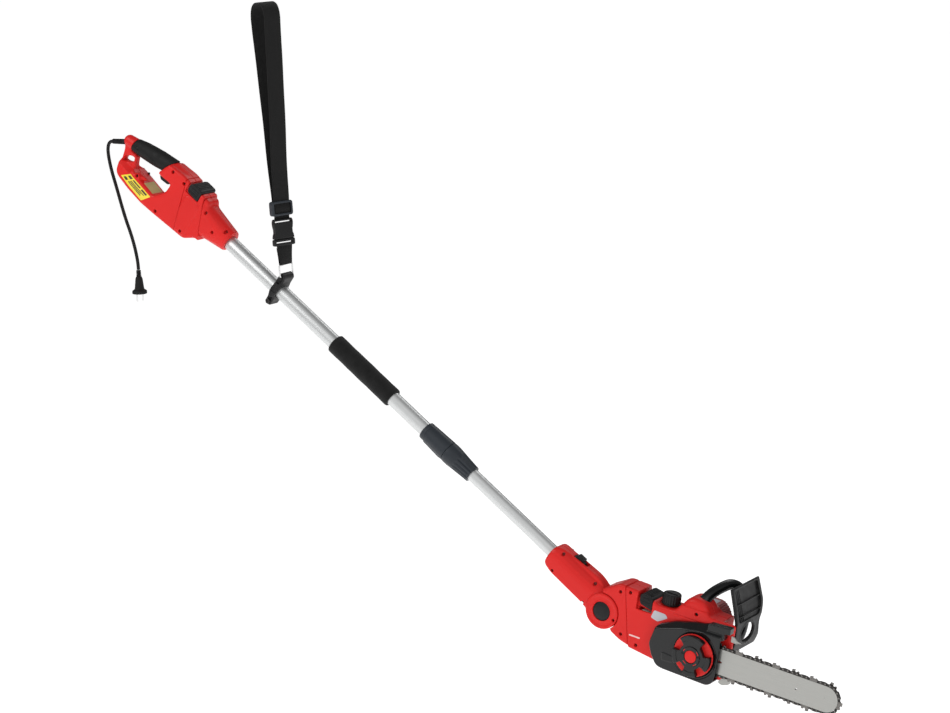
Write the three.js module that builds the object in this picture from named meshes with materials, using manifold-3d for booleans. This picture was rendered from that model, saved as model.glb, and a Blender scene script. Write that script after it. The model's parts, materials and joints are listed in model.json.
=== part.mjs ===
// Corded telescoping pole saw: a rear handle with a mains lead, a two-tube telescoping pole with a
// shoulder strap, and a small chainsaw head on a tilting knuckle.
// Units are millimetres, +Z is up. The saw hangs from the top of its strap loop, which is the origin.
// +X runs towards the saw head and the bar is on the -Y side.

import * as THREE from 'three';
import { mergeVertices } from 'three/addons/utils/BufferGeometryUtils.js';
import Module from 'manifold-3d';

const wasm = await Module();
wasm.setup();

// ---------------------------------------------------------------- driving dimensions
const GAP = 0.3;                  // clearance between pieces that touch
const POLE_SLOPE = 39.8;          // degrees below the horizontal
const HEAD_TILT = 26;             // degrees between the pole and the guide bar
const STRAP_DROP = 548;           // strap loop top down to the ring eye
const EYE = { x: 157, z: 35 };    // ring eye on the pole, in the pole's frame

const OUTER_R = 15;               // outer tube
const OUTER_BORE = 13.5;
const INNER_R = 13;               // inner tube
const INNER_BORE = 11.4;
const STATION = {                 // places along the pole, from the rear socket's mouth
  tubeRear: -54, foamRear: 325, foamFront: 494, collarRear: 589, collarFront: 653,
  tubeFront: 672, twistFront: 721, innerRear: 150, adapterMouth: 947, innerFront: 1000,
};
const PIVOT = { x: 1100, z: -4 }; // tilt knuckle, in the pole's frame
const HANDLE_HALF = 24;           // half width of the rear handle
const KNUCKLE_R = 35;
const KNUCKLE_HALF = 30;
const TONGUE_HALF = 13.7;
const HOUSING_HALF = 28;
const SPROCKET = { x: 176, z: -11 };
const BAR = { y: -40, z: -11, half: 24.8, nose: 484, thick: 4.4 };
const CHAIN_RISE = 9.5;
const KNOB = { x: 216, z: -11, ring: 41, hub: 18, lobe: 11.5, reach: 27 };
const MOTOR = { x: 188, z: 28, r: 40, flat: 62 };
const PINION_TEETH = 8;
const GEAR_TEETH = 32;
const NOSE_TEETH = 9;
const GUARD_AXIS = { x: 262, z: 4 };
const WEBBING = 40;               // strap width

// ---------------------------------------------------------------- finishes
const finish = (color, roughness, metalness = 0) => ({ color, roughness, metalness });
const RED = finish(0xd9201b, 0.38);
const DARK_RED = finish(0x8e2222, 0.5);
const BLACK = finish(0x1b1c1d, 0.55);
const GREY_BLACK = finish(0x303438, 0.5);
const RUBBER = finish(0x151617, 0.8);
const FOAM = finish(0x0e0f0f, 0.95);
const WEB = finish(0x101010, 0.95);
const TUBE = finish(0xcfd2d4, 0.3, 1);
const STEEL = finish(0x8c8f8c, 0.35, 1);
const DARK_STEEL = finish(0x3a3c3c, 0.4, 1);
const COPPER = finish(0x9a5a34, 0.4, 1);
const NYLON = finish(0xdcd8c8, 0.6);

const rad = THREE.MathUtils.degToRad;

// ---------------------------------------------------------------- solids
const WELD = 1e-3;

function solid(geometry) {
  const bare = geometry.clone();
  bare.deleteAttribute('normal');
  bare.deleteAttribute('uv');
  const merged = mergeVertices(bare, WELD);
  const place = merged.attributes.position.array;
  const corners = merged.index.array;
  const kept = [];
  let volume = 0;
  for (let i = 0; i < corners.length; i += 3) {
    const [a, b, c] = [corners[i], corners[i + 1], corners[i + 2]];
    if (a === b || b === c || c === a) continue;
    kept.push(a, b, c);
    const [p, q, r] = [a, b, c].map((k) => new THREE.Vector3().fromArray(place, 3 * k));
    volume += p.dot(q.cross(r));
  }
  if (volume < 0) kept.reverse();
  return new wasm.Manifold(new wasm.Mesh({
    numProp: 3, vertProperties: Float32Array.from(place), triVerts: Uint32Array.from(kept),
  }));
}

function geometryOf(shape) {
  const mesh = shape.getMesh();
  const geometry = new THREE.BufferGeometry();
  geometry.setAttribute('position', new THREE.BufferAttribute(mesh.vertProperties, 3));
  geometry.setIndex(new THREE.BufferAttribute(mesh.triVerts, 1));
  return geometry;
}

const join = (...shapes) => shapes.reduce((a, b) => a.add(b));
const cut = (base, ...tools) => tools.reduce((a, b) => a.subtract(b), base);

function box(x0, x1, y0, y1, z0, z1) {
  const g = new THREE.BoxGeometry(x1 - x0, y1 - y0, z1 - z0);
  return solid(g.translate((x0 + x1) / 2, (y0 + y1) / 2, (z0 + z1) / 2));
}

// An outline in the X-Z plane with every corner rounded by r.
function outline(points, r = 0) {
  const shape = new THREE.Shape();
  const at = points.map(([x, z]) => new THREE.Vector2(x, z));
  at.forEach((p, i) => {
    const before = at[(i + at.length - 1) % at.length];
    const after = at[(i + 1) % at.length];
    const step = (q) => q.clone().sub(p).setLength(Math.min(r, q.distanceTo(p) / 2.2)).add(p);
    const [a, b] = r > 0 ? [step(before), step(after)] : [p, p];
    if (i === 0) shape.moveTo(a.x, a.y);
    else shape.lineTo(a.x, a.y);
    if (r > 0) shape.quadraticCurveTo(p.x, p.y, b.x, b.y);
  });
  shape.closePath();
  return shape;
}

// A side outline given thickness from y0 to y1, with both rims bevelled.
function slab(shape, y0, y1, bevel = 0, curveSegments = 3) {
  const g = new THREE.ExtrudeGeometry(shape, {
    depth: y1 - y0 - 2 * bevel, curveSegments, bevelEnabled: bevel > 0,
    bevelThickness: bevel, bevelSize: bevel, bevelOffset: -bevel, bevelSegments: 2,
  });
  return solid(g.rotateX(Math.PI / 2).translate(0, y1 - bevel, 0));
}

// A profile of [radius, distance] pairs turned about an axis through (x, y, z).
const TURN = { x: ['rotateZ', -Math.PI / 2], y: ['rotateX', 0], z: ['rotateX', Math.PI / 2] };
function turned(profile, axis, at = [0, 0, 0], sides = 20) {
  const g = new THREE.LatheGeometry(profile.map(([r, d]) => new THREE.Vector2(r, d)), sides);
  const [method, angle] = TURN[axis];
  return solid(g[method](angle).translate(...at));
}

const rod = (r, d0, d1, axis, at, sides) => turned([[0, d0], [r, d0], [r, d1], [0, d1]], axis, at, sides);
const tube = (outer, inner, d0, d1, axis, at, sides) =>
  turned([[inner, d0], [outer, d0], [outer, d1], [inner, d1], [inner, d0]], axis, at, sides);

function swept(points, r, steps, sides = 10) {
  const section = new THREE.Shape();
  for (let i = 0; i < sides; i += 1) {
    const a = (2 * Math.PI * i) / sides;
    section[i ? 'lineTo' : 'moveTo'](r * Math.cos(a), r * Math.sin(a));
  }
  section.closePath();
  const path = new THREE.CatmullRomCurve3(points.map((p) => new THREE.Vector3(...p)));
  return solid(new THREE.ExtrudeGeometry(section, { steps, bevelEnabled: false, extrudePath: path }));
}

function bar(from, to, r0, r1 = r0, sides = 14) {
  const [a, b] = [new THREE.Vector3(...from), new THREE.Vector3(...to)];
  const g = new THREE.CylinderGeometry(r1, r0, a.distanceTo(b), sides);
  const turn = new THREE.Quaternion().setFromUnitVectors(
    new THREE.Vector3(0, 1, 0), b.clone().sub(a).normalize());
  return solid(g.applyQuaternion(turn).translate(...a.add(b).multiplyScalar(0.5)));
}

function gearBlank(teeth, root, tip, y0, y1, at, phase = 0) {
  const points = [];
  const pitch = (2 * Math.PI) / teeth;
  for (let i = 0; i < teeth; i += 1) {
    [[-0.3, root], [-0.12, tip], [0.12, tip], [0.3, root]].forEach(([turn, r]) => {
      const a = (i + turn) * pitch + phase;
      points.push([at.x + r * Math.cos(a), at.z + r * Math.sin(a)]);
    });
  }
  return slab(outline(points), y0, y1);
}

// The -Y and +Y halves of a moulding that is split down its middle.
function halves(whole) {
  const { min, max } = whole.boundingBox();
  const side = (y0, y1) => box(min[0] - 1, max[0] + 1, y0, y1, min[2] - 1, max[2] + 1);
  return [whole.intersect(side(min[1] - 1, -GAP / 2)), whole.intersect(side(GAP / 2, max[1] + 1))];
}

function add(group, name, shape, look) {
  const mesh = new THREE.Mesh(geometryOf(shape), new THREE.MeshStandardMaterial(look));
  mesh.name = name;
  group.add(mesh);
}

function addPair(group, name, whole, look) {
  const [right, left] = halves(whole);
  add(group, `${name}_right`, right, look);
  add(group, `${name}_left`, left, look);
}

// ---------------------------------------------------------------- groups
const saw = new THREE.Group();
const tool = new THREE.Group();
const head = new THREE.Group();
const slope = rad(POLE_SLOPE);
const eyeInRow = new THREE.Vector3(0, 0, -STRAP_DROP);
tool.rotation.y = slope;
tool.position.set(
  eyeInRow.x - EYE.x * Math.cos(slope) - EYE.z * Math.sin(slope), 0,
  eyeInRow.z + EYE.x * Math.sin(slope) - EYE.z * Math.cos(slope));
head.rotation.y = -rad(HEAD_TILT);
head.position.set(PIVOT.x, 0, PIVOT.z);
saw.add(tool);
tool.add(head);

// ---------------------------------------------------------------- rear handle
// The seam between the handle and the pole's socket leans; x on it falls as z rises.
const seamX = (z) => -61.3 - 0.413 * z;
function aheadOfSeam(offset) {
  const [z0, z1] = [-90, 90];
  return slab(outline([
    [seamX(z0) + offset, z0], [seamX(z1) + offset, z1], [90, z1], [90, z0],
  ]), -60, 60);
}

const GRIP = {
  rear: [-293, 13], front: [-180, 38], coreR: 9, flat: 0.88,
  swell: [[-296, 14.2], [-268, 17.9], [-248, 18.9], [-226, 19.5], [-200, 18.5], [-174, 17.5]],
};
const gripAt = (x) => {
  const [[x0, z0], [x1, z1]] = [GRIP.rear, GRIP.front];
  return z0 + ((x - x0) * (z1 - z0)) / (x1 - x0);
};
const gripBar = (x0, x1, r0, r1) => bar([x0, 0, gripAt(x0)], [x1, 0, gripAt(x1)], r0, r1);
const LATCH = { rear: -122, front: -89, half: 25, inner: 20.5, top: 52, floor: 30 };

const STRUT_HALF = 8.5;           // half width of the strut at the loop's rear

const triggerSlot = () => box(-210, -166, -6.5, 6.5, -10, 34);

function rearHandle() {
  const loop = outline([
    [-40, 48], [-114, 46.5], [-146, 50], [-164, 48.5], [-187, 47], [-202, 15.5], [-196, 12], [-163, 15],
    [-165, -8], [-186, -34.5], [-247, -26.5], [-261, -24], [-267, -12], [-271, 0], [-292, -1], [-294, 12],
    [-302, 22], [-316, 12], [-313, 3], [-307, -6], [-304, -17], [-299, -38], [-297, -48], [-292, -56],
    [-283, -60], [-203, -66], [-167, -64], [-78, -57], [-54, -36], [-30, -36],
  ], 3.6);
  const hole = slab(outline([
    [-296.5, -31], [-296, -19], [-284, -9], [-274.5, -6], [-271, -14], [-276.5, -22],
  ], 2), -40, 40);
  const narrowed = [1, -1].map((side) => {
    const wedge = [[-330, 12], [-250, 23], [-250, 40], [-330, 40]].map(([x, y]) => [x, side * y]);
    const g = new THREE.ExtrudeGeometry(outline(wedge), { depth: 120, bevelEnabled: false });
    return solid(g.translate(0, 0, -90));
  });
  const besideStrut = [1, -1].map((side) => {
    const [y0, y1] = [side * STRUT_HALF, side * 40].sort((a, b) => a - b);
    return slab(outline([[-330, -30], [-268, -30], [-262, -14], [-262, 60], [-330, 60]], 3), y0, y1);
  });
  const core = gripBar(-300, -178, GRIP.coreR);
  const heel = bar([-308, 0, 10.5], [-286, 0, 13.9], 9.5, 12.9, 20)
    .intersect(box(-330, -290.4, -20, 20, -20, 40));
  const frame = cut(slab(loop, -HANDLE_HALF, HANDLE_HALF, 1.5), hole, ...narrowed, ...besideStrut);
  const body = join(frame, core, heel);
  const hollow = box(-160, -96, -17, 17, -44, 28);
  const switchRoom = box(-167, -130, -11, 11, 2, 40);
  const lockBore = rod(6.6, 5, 40, 'y', [-172, 0, 32]);
  const reliefBore = bar([-334, 0, -12.9], [-299, 0, 13.7], 6.4);
  const keep = { x0: LATCH.rear - 4, x1: LATCH.front + 1 };
  const latchSeat = cut(
    box(keep.x0, keep.x1, -40, 40, LATCH.floor - 1, 80),
    box(keep.x0 - 1, keep.x1 + 1, -LATCH.inner + 0.5, LATCH.inner - 0.5, 0, LATCH.top - 6));
  return cut(body, aheadOfSeam(-GAP), triggerSlot(), hollow, switchRoom, lockBore, reliefBore, latchSeat);
}

function gripSleeve(handle) {
  const lean = outline([[-290, -20], [-290, 60], [-180.3, 60], [-185, 50], [-201.5, 16], [-203, -20]]);
  const [first, last] = [GRIP.swell[0][0], GRIP.swell.at(-1)[0]];
  const sleeve = turned([[0, first], ...GRIP.swell.map(([x, r]) => [r, x]), [0, last]], 'x', [0, 0, 0], 24)
    .warp((p) => {
      p[1] *= GRIP.flat;
      p[2] += gripAt(p[0]);
    });
  const clear = [-GAP, GAP].map((d) => handle.translate([d, 0, 0]));
  const bore = gripBar(-310, -160, GRIP.coreR + GAP);
  return cut(sleeve.intersect(slab(lean, -40, 40)), bore, triggerSlot(), ...clear);
}

function rearLatch() {
  const wall = outline([
    [LATCH.rear, LATCH.floor + 8], [LATCH.front, LATCH.floor], [LATCH.front, LATCH.top + 1],
    [LATCH.rear + 5, LATCH.top + 2], [LATCH.rear, LATCH.top - 2],
  ]);
  const inside = box(LATCH.rear - 1, LATCH.front + 1, -LATCH.inner, LATCH.inner, 0, LATCH.top - 5.5);
  return cut(slab(wall, -LATCH.half, LATCH.half, 2), inside);
}

function trigger() {
  return slab(outline([
    [-202, 11], [-204, 3], [-198, -3], [-178, -1], [-170, 8], [-170, 22], [-190, 22],
  ], 2), -5.8, 5.8, 1);
}

const handle = rearHandle();
addPair(tool, 'rear_shell', handle, RED);
add(tool, 'handle_grip', gripSleeve(handle), RUBBER);
add(tool, 'rear_latch', rearLatch(), BLACK);
add(tool, 'trigger', trigger(), BLACK);
add(tool, 'lock_off_button', rod(6, 13, 27, 'y', [-172, 0, 32], 16), BLACK);
add(tool, 'trigger_switch', box(-160, -134, -10, 10, 4, 30), NYLON);

// ---------------------------------------------------------------- mains lead
// The lead leaves its relief, turns down and hangs to the plug. Points are [x, z] in the tool's frame.
const CORD_R = 3.5;
const RELIEF = { root: [-318, -1], tip: [-342, -19] };
const CORD = [
  [-342.8, -19.6], [-346, -23.5], [-347.5, -29.5], [-345, -38], [-338, -48], [-325, -61], [-308, -75],
  [-290, -88], [-268, -104], [-247, -119.5], [-223, -136], [-200, -150.5], [-181, -164], [-164, -178],
  [-151, -190.5], [-141.5, -201.5],
];
const PLUG_TILT = Math.atan2(-33, 25);

function alongPlug(shape) {
  // Shapes are built pointing along +X and turned to hang from the cord's lower end.
  const g = geometryOf(shape).rotateY(-PLUG_TILT);
  return solid(g.translate(-141.2, 0, -202));
}

add(tool, 'cord_relief', cut(
  bar([RELIEF.tip[0], 0, RELIEF.tip[1]], [-300.5, 0, 12.6], 5.2, 6),
  box(-301, -290, -20, 20, -10, 30)), RUBBER);
add(tool, 'power_cord', swept(CORD.map(([x, z]) => [x, 0, z]), CORD_R, 24, 8), BLACK);
add(tool, 'plug_body', alongPlug(cut(
  turned([[0, 0.5], [5, 0.5], [5.6, 14], [7.4, 18], [10, 40], [15.5, 44.5], [15.5, 50], [0, 50]],
    'x', [0, 0, 0], 16),
  ...[-9.5, 9.5].map((y) => rod(2.4, 41, 52, 'x', [0, y, 0], 8)))), BLACK);
[-9.5, 9.5].forEach((y, i) => {
  add(tool, `plug_pin_${i + 1}`, alongPlug(rod(2.1, 41.5, 66, 'x', [0, y, 0], 8)), STEEL);
});

// ---------------------------------------------------------------- pole
function poleSocket() {
  const cone = join(
    turned([[0, -95], [36, -95], [34, -60], [21.5, 7], [19.5, 10], [0, 10]], 'x', [0, 0, 0], 24),
    bar([-80, 0, 3], [10, 0, 4.5], 36, 21.5, 24));
  const hump = slab(outline([[-86, 0], [-86, 43], [-68, 43], [-60, 30], [-52, 0]], 5), -20, 20, 2);
  const flat = box(-120, 20, -HANDLE_HALF, HANDLE_HALF, -60, 60);
  const whole = join(cone.intersect(flat), hump);
  return cut(whole.intersect(aheadOfSeam(0)), rod(OUTER_R + GAP, STATION.tubeRear - 1, 20, 'x'));
}

addPair(tool, 'pole_socket', poleSocket(), RED);
add(tool, 'outer_tube', tube(OUTER_R, OUTER_BORE, STATION.tubeRear, STATION.tubeFront, 'x'), TUBE);
add(tool, 'foam_grip', tube(20, OUTER_R + GAP, STATION.foamRear, STATION.foamFront, 'x'), FOAM);

function clampHalf(side) {
  const z = (a, b) => (side > 0 ? [a, b] : [-b, -a]);
  const ring = rod(22, 150, 165, 'x').intersect(box(140, 175, -30, 30, ...z(GAP / 2, 40)));
  const lug = side > 0
    ? slab(outline([[150, 12], [165, 12], [165, 36], [160, 41], [152, 41], [150, 38]]), -18, 18, 2)
    : slab(outline([[150, -10], [150, -32], [154, -36], [165, -33], [165, -10]]), -15, 15, 2);
  return cut(join(ring, lug), rod(OUTER_R + GAP, 140, 175, 'x'));
}

add(tool, 'strap_clamp_upper', cut(clampHalf(1), rod(3.6, -40, 40, 'y', [EYE.x, 0, EYE.z], 12)), BLACK);
add(tool, 'strap_clamp_lower', cut(clampHalf(-1), rod(3.3, -40, 40, 'y', [157.5, 0, -27], 12)), BLACK);
add(tool, 'clamp_screw', join(
  rod(2.9, -16, 16, 'y', [157.5, 0, -27], 10), rod(5, -19.5, -15.4, 'y', [157.5, 0, -27], 12)), STEEL);

function lockCollar() {
  const skin = turned([
    [0, STATION.collarRear], [18.7, STATION.collarRear], [21.3, 645], [21.3, STATION.collarFront],
    [0, STATION.collarFront],
  ], 'x', [0, 0, 0], 24);
  return cut(skin, rod(OUTER_R + GAP, 580, 660, 'x'));
}

function twistCollar() {
  const rear = STATION.collarFront + GAP;
  const skin = turned([[0, rear], [21.6, rear], [21.6, 668], [17.4, STATION.twistFront - 3],
    [16.6, STATION.twistFront], [0, STATION.twistFront]], 'x', [0, 0, 0], 24);
  return cut(skin, rod(16.1, rear - 5, 713, 'x'), rod(INNER_R + GAP, 700, 730, 'x'));
}

add(tool, 'lock_collar', lockCollar(), GREY_BLACK);
add(tool, 'twist_collar', twistCollar(), GREY_BLACK);
add(tool, 'lock_collet', tube(15.6, INNER_R + GAP, STATION.tubeFront + 2, 711, 'x'), NYLON);
add(tool, 'inner_tube', tube(INNER_R, INNER_BORE, STATION.innerRear, STATION.innerFront, 'x'), TUBE);

// ---------------------------------------------------------------- pole adapter and tilt knuckle
const cheekGap = () => box(PIVOT.x - 40, PIVOT.x + 40, -TONGUE_HALF - GAP, TONGUE_HALF + GAP, -45, 40);
const aboutPivot = (r, y0, y1, sides = 32) => rod(r, y0, y1, 'y', [PIVOT.x, 0, PIVOT.z], sides);
const SLIDER = { x: 1000, wide: 6.5 };

// A bar along the pole whose section narrows from its full width to a strip along its top.
function roundShouldered(x0, x1) {
  const half = [[28, -45], [28, 6], [25.5, 15], [21, 23], [10, 38]];
  const section = outline([...half, ...half.map(([y, z]) => [-y, z]).reverse()]);
  const g = new THREE.ExtrudeGeometry(section, { depth: x1 - x0, bevelEnabled: false });
  return solid(g.rotateX(Math.PI / 2).rotateZ(Math.PI / 2).translate(x0, 0, 0));
}

function poleAdapter() {
  const mouth = STATION.adapterMouth;
  const side = outline([
    [mouth, -18], [mouth, 21], [958, 27], [977, 29], [1007, 32], [1048, 34.5], [1064, 32],
    [1082, 24], [1092, -10], [1076, -27], [1056, -23], [975, -22],
  ], 4);
  const body = slab(side, -27, 27, 2).intersect(roundShouldered(mouth - 5, 1110));
  const cheeks = aboutPivot(KNUCKLE_R, -KNUCKLE_HALF, KNUCKLE_HALF);
  const whole = join(body, cheeks);
  const sliderSeat = box(SLIDER.x - 13.4, SLIDER.x + 20, -SLIDER.wide - 1, SLIDER.wide + 1, 17, 60);
  return cut(whole, rod(INNER_R + GAP, mouth - 5, STATION.innerFront + 1, 'x'),
    rod(INNER_BORE, STATION.innerFront, 1040, 'x'), cheekGap().intersect(aboutPivot(38, -20, 20)),
    aboutPivot(6.5, -40, 40, 16), aboutPivot(18.8, 23.5, 40, 24), aboutPivot(18.8, -40, -23.5, 24),
    sliderSeat);
}

addPair(tool, 'pole_adapter', poleAdapter(), RED);
add(tool, 'tilt_slider', slab(outline([
  [SLIDER.x - 13, 20], [SLIDER.x + 13, 20], [SLIDER.x + 13, 30], [SLIDER.x + 9, 31.5], [SLIDER.x + 7, 37.5],
  [SLIDER.x - 7, 37.5], [SLIDER.x - 10, 30],
]), -SLIDER.wide, SLIDER.wide, 1), BLACK);
add(tool, 'tilt_bolt', join(aboutPivot(6, -25, 25, 16), aboutPivot(10, -25.2, -23.8, 16)), STEEL);
['right', 'left'].forEach((side, i) => {
  const sign = i ? 1 : -1;
  const [y0, y1] = [sign * 25.4, sign * 31.5].sort((a, b) => a - b);
  add(tool, `tilt_cap_${side}`, aboutPivot(18.3, y0, y1, 24), BLACK);
});

const aboutHead = (r, y0, y1, sides = 32) => rod(r, y0, y1, 'y', [0, 0, 0], sides);
const headSeamX = (z) => 54.8 - 0.207 * z;

function headAdapter() {
  const side = outline([
    [-6, 41], [29, 62], [headSeamX(62), 62], [headSeamX(-49), -49], [44, -42], [23, -32],
  ], 5);
  const body = slab(side, -HOUSING_HALF, HOUSING_HALF, 1.5);
  const ring = KNUCKLE_R + 1.2;
  const tongue = aboutHead(KNUCKLE_R - 1, -TONGUE_HALF, TONGUE_HALF);
  const link = box(20, 44, -TONGUE_HALF, TONGUE_HALF, -22, 30);
  return cut(join(cut(body, aboutHead(ring, -40, 40)), tongue, link), aboutHead(6.3, -40, 40, 16),
    box(44, 80, -20, 20, -34, 46));
}

addPair(head, 'head_adapter', headAdapter(), RED);

// ---------------------------------------------------------------- saw housing
const HANDLE_PATH = [
  [193, -4, 72], [197, 6, 83], [201, 22, 91], [208, 45, 98], [214, 63, 100], [224, 78, 94], [236, 86, 76],
  [242, 87, 40], [240, 84, 0], [230, 68, -28], [216, 46, -37], [211, HOUSING_HALF + 0.5, -38],
];
const HANDLE_R = 10.5;
const HEAD_LATCH = { rear: 74, front: 103, half: 26, inner: 21, drop: 10 };
const OIL = { x: 129, y: -2, floor: 47, r: 18.5 };
const aboutSprocket = (r, y0, y1, sides = 20) => rod(r, y0, y1, 'y', [SPROCKET.x, 0, SPROCKET.z], sides);
const aboutMotor = (r, y0, y1, sides = 24) => rod(r, y0, y1, 'y', [MOTOR.x, 0, MOTOR.z], sides);
const aboutKnob = (r, y0, y1, sides = 20) => rod(r, y0, y1, 'y', [KNOB.x, 0, KNOB.z], sides);
const topAt = (x) => 62 - ((x - 42) * 10) / 63;

function latchSeat() {
  const { rear, front, inner, drop } = HEAD_LATCH;
  const room = outline([
    [rear - 4, topAt(rear - 4) - 24], [front + 1, topAt(front) - 24], [front + 1, 80], [rear - 4, 80],
  ]);
  const keep = outline([
    [rear - 20, topAt(rear - 20) - drop + 3], [front + 20, topAt(front + 20) - drop + 3],
    [front + 20, 0], [rear - 20, 0],
  ]);
  return cut(slab(room, -40, 40), slab(keep, -inner + 0.5, inner - 0.5));
}

function sawHousing() {
  const side = outline([
    [headSeamX(62) + GAP, 62], [106, 52], [114, 47], [150, 48], [160, 65], [173, 79], [190, 83], [203, 79],
    [218, 66], [224, 58], [276, 57], [276, -40], [262, -54], [124, -59], [headSeamX(-49) + GAP, -49],
  ], 5);
  const hollow = outline([
    [74, 34], [100, 30], [152, 40], [172, 62], [206, 58], [214, 45], [238, 45], [238, -48],
    [124, -52], [78, -42],
  ]);
  const shell = cut(slab(side, -HOUSING_HALF, HOUSING_HALF, 2), slab(hollow, -24, 24));
  const guardRoom = box(249, 290, -18.6, 40, -70, 80);
  return cut(shell, guardRoom, latchSeat(), swept(HANDLE_PATH, HANDLE_R + 0.4, 14, 12),
    aboutSprocket(8, -40, -20), aboutMotor(MOTOR.r - 4, 0.5, 40), aboutKnob(4.4, -40, -20, 12),
    rod(12.5, 30, 60, 'z', [OIL.x, OIL.y, 0], 16));
}

function headLatch() {
  const { rear, front, half, inner, drop } = HEAD_LATCH;
  const wall = outline([
    [rear, topAt(rear) - 18], [front, topAt(front) - 18], [front, topAt(front) + 2],
    [rear + 3, topAt(rear) + 3], [rear, topAt(rear) - 1],
  ]);
  const inside = outline([
    [rear - 5, topAt(rear - 5) - drop + 3.5], [front + 5, topAt(front + 5) - drop + 3.5],
    [front + 5, 0], [rear - 5, 0],
  ]);
  return cut(slab(wall, -half, half, 2), slab(inside, -inner, inner));
}

addPair(head, 'saw_housing', sawHousing(), RED);
add(head, 'head_latch', headLatch(), BLACK);
add(head, 'oil_tank', join(
  slab(outline([[80, 27], [98, 24], [138, 35], [138, -34], [124, -40], [84, -34]]), -22, 22),
  rod(11.5, 28, OIL.floor - 6.5, 'z', [OIL.x, OIL.y, 0], 16)), NYLON);
add(head, 'oil_cap', join(
  rod(OIL.r, OIL.floor + 3.5, OIL.floor + 25, 'z', [OIL.x, OIL.y, 0], 20),
  rod(11.5, OIL.floor - 6, OIL.floor + 4, 'z', [OIL.x, OIL.y, 0], 16)), BLACK);

// ---------------------------------------------------------------- motor and drive
const meshPhase = Math.atan2(MOTOR.z - SPROCKET.z, MOTOR.x - SPROCKET.x);
const centres = Math.hypot(MOTOR.x - SPROCKET.x, MOTOR.z - SPROCKET.z);
const pitchR = (teeth) => (centres * teeth) / (PINION_TEETH + GEAR_TEETH);

const underFlat = (wall) => box(120, 260, -10, 100, -40, MOTOR.flat - wall);

function motorHousing() {
  const skin = turned([[0, GAP], [MOTOR.r, GAP], [MOTOR.r, 40], [MOTOR.r - 8, 48], [0, 48]], 'y',
    [MOTOR.x, HOUSING_HALF, MOTOR.z], 28);
  const room = aboutMotor(MOTOR.r - 4, HOUSING_HALF - 1, HOUSING_HALF + 42).intersect(underFlat(4));
  return cut(skin.intersect(underFlat(0)), room, aboutMotor(5.4, 60, 90, 12));
}

function armature() {
  const phase = meshPhase + Math.PI + Math.PI / PINION_TEETH;
  const r = pitchR(PINION_TEETH);
  const pinion = gearBlank(PINION_TEETH, r - 2.6, r + 1.6, -20, -11, MOTOR, phase);
  return join(pinion, aboutMotor(5, -21, 72, 12), aboutMotor(22, 4, 46, 24), aboutMotor(13, 50, 60, 16));
}

function driveGear() {
  const r = pitchR(GEAR_TEETH);
  const wheel = gearBlank(GEAR_TEETH, r - 2.6, r + 1.6, -19, -12, SPROCKET, meshPhase);
  return join(wheel, aboutSprocket(6, -46, -6, 12), gearBlank(6, 11, 15.5, -43.2, -36.8, SPROCKET));
}

add(head, 'motor_housing', motorHousing(), DARK_RED);
add(head, 'motor_stator', cut(
  aboutMotor(MOTOR.r - 5, 1, 44, 24).intersect(underFlat(5)), aboutMotor(23.5, 0, 50, 24)), COPPER);
add(head, 'motor_armature', armature(), DARK_STEEL);
add(head, 'drive_gear', driveGear(), DARK_STEEL);
add(head, 'oil_pump', box(224, 236, -22, -4, -34, -14), NYLON);

// ---------------------------------------------------------------- bar, chain and cover
function roundEnds(rRear, rNose, xFlat) {
  // An outline round the sprocket and the nose, at full height from xFlat on.
  const shape = new THREE.Shape();
  shape.absarc(BAR.nose, BAR.z, rNose, -Math.PI / 2, Math.PI / 2, false);
  shape.lineTo(xFlat, BAR.z + rNose);
  shape.absarc(SPROCKET.x, SPROCKET.z, rRear, Math.PI / 2, (3 * Math.PI) / 2, false);
  shape.lineTo(xFlat, BAR.z - rNose);
  shape.closePath();
  return shape;
}

function guideBar() {
  const half = BAR.thick / 2;
  const noseR = BAR.half - 1;
  const blade = new THREE.Shape();
  blade.absarc(BAR.nose, BAR.z, BAR.half, -Math.PI / 2, Math.PI / 2, false);
  blade.lineTo(232, BAR.z + BAR.half);
  blade.lineTo(200, BAR.z + 15);
  blade.lineTo(200, BAR.z - 15);
  blade.lineTo(232, BAR.z - BAR.half);
  blade.closePath();
  return cut(slab(blade, BAR.y - half, BAR.y + half, 0, 6),
    rod(noseR + 3, BAR.y - 0.9, BAR.y + 0.9, 'y', [BAR.nose, 0, BAR.z], 24),
    box(207, 240, BAR.y - 5, BAR.y + 5, BAR.z - 4.3, BAR.z + 4.3),
    box(262, 270, BAR.y - 5, BAR.y + 5, BAR.z - 1, BAR.z + 3));
}

function chain() {
  const inner = roundEnds(17, BAR.half + GAP, 232);
  const outer = roundEnds(17 + CHAIN_RISE - 2, BAR.half + CHAIN_RISE, 232);
  return cut(slab(outer, BAR.y - 3.2, BAR.y + 3.2, 0, 8), slab(inner, BAR.y - 5, BAR.y + 5, 0, 8));
}

const COVER = [
  [129, 17], [120, -19], [128, -38], [141, -55], [152, -58], [249, -60], [259, -53], [263, -30], [262, 38],
  [260, 50], [231, 53], [224, 47], [196, 42], [160, 32],
];

function sideCover() {
  const room = outline([[138, 12], [138, -34], [152, -48], [275, -51], [275, 31], [200, 31], [160, 24]], 4);
  const shell = slab(outline(COVER, 4), -52, -HOUSING_HALF - GAP, 2);
  return cut(shell, slab(room, -48.5, -20), aboutKnob(6, -60, -40, 16));
}

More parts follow.
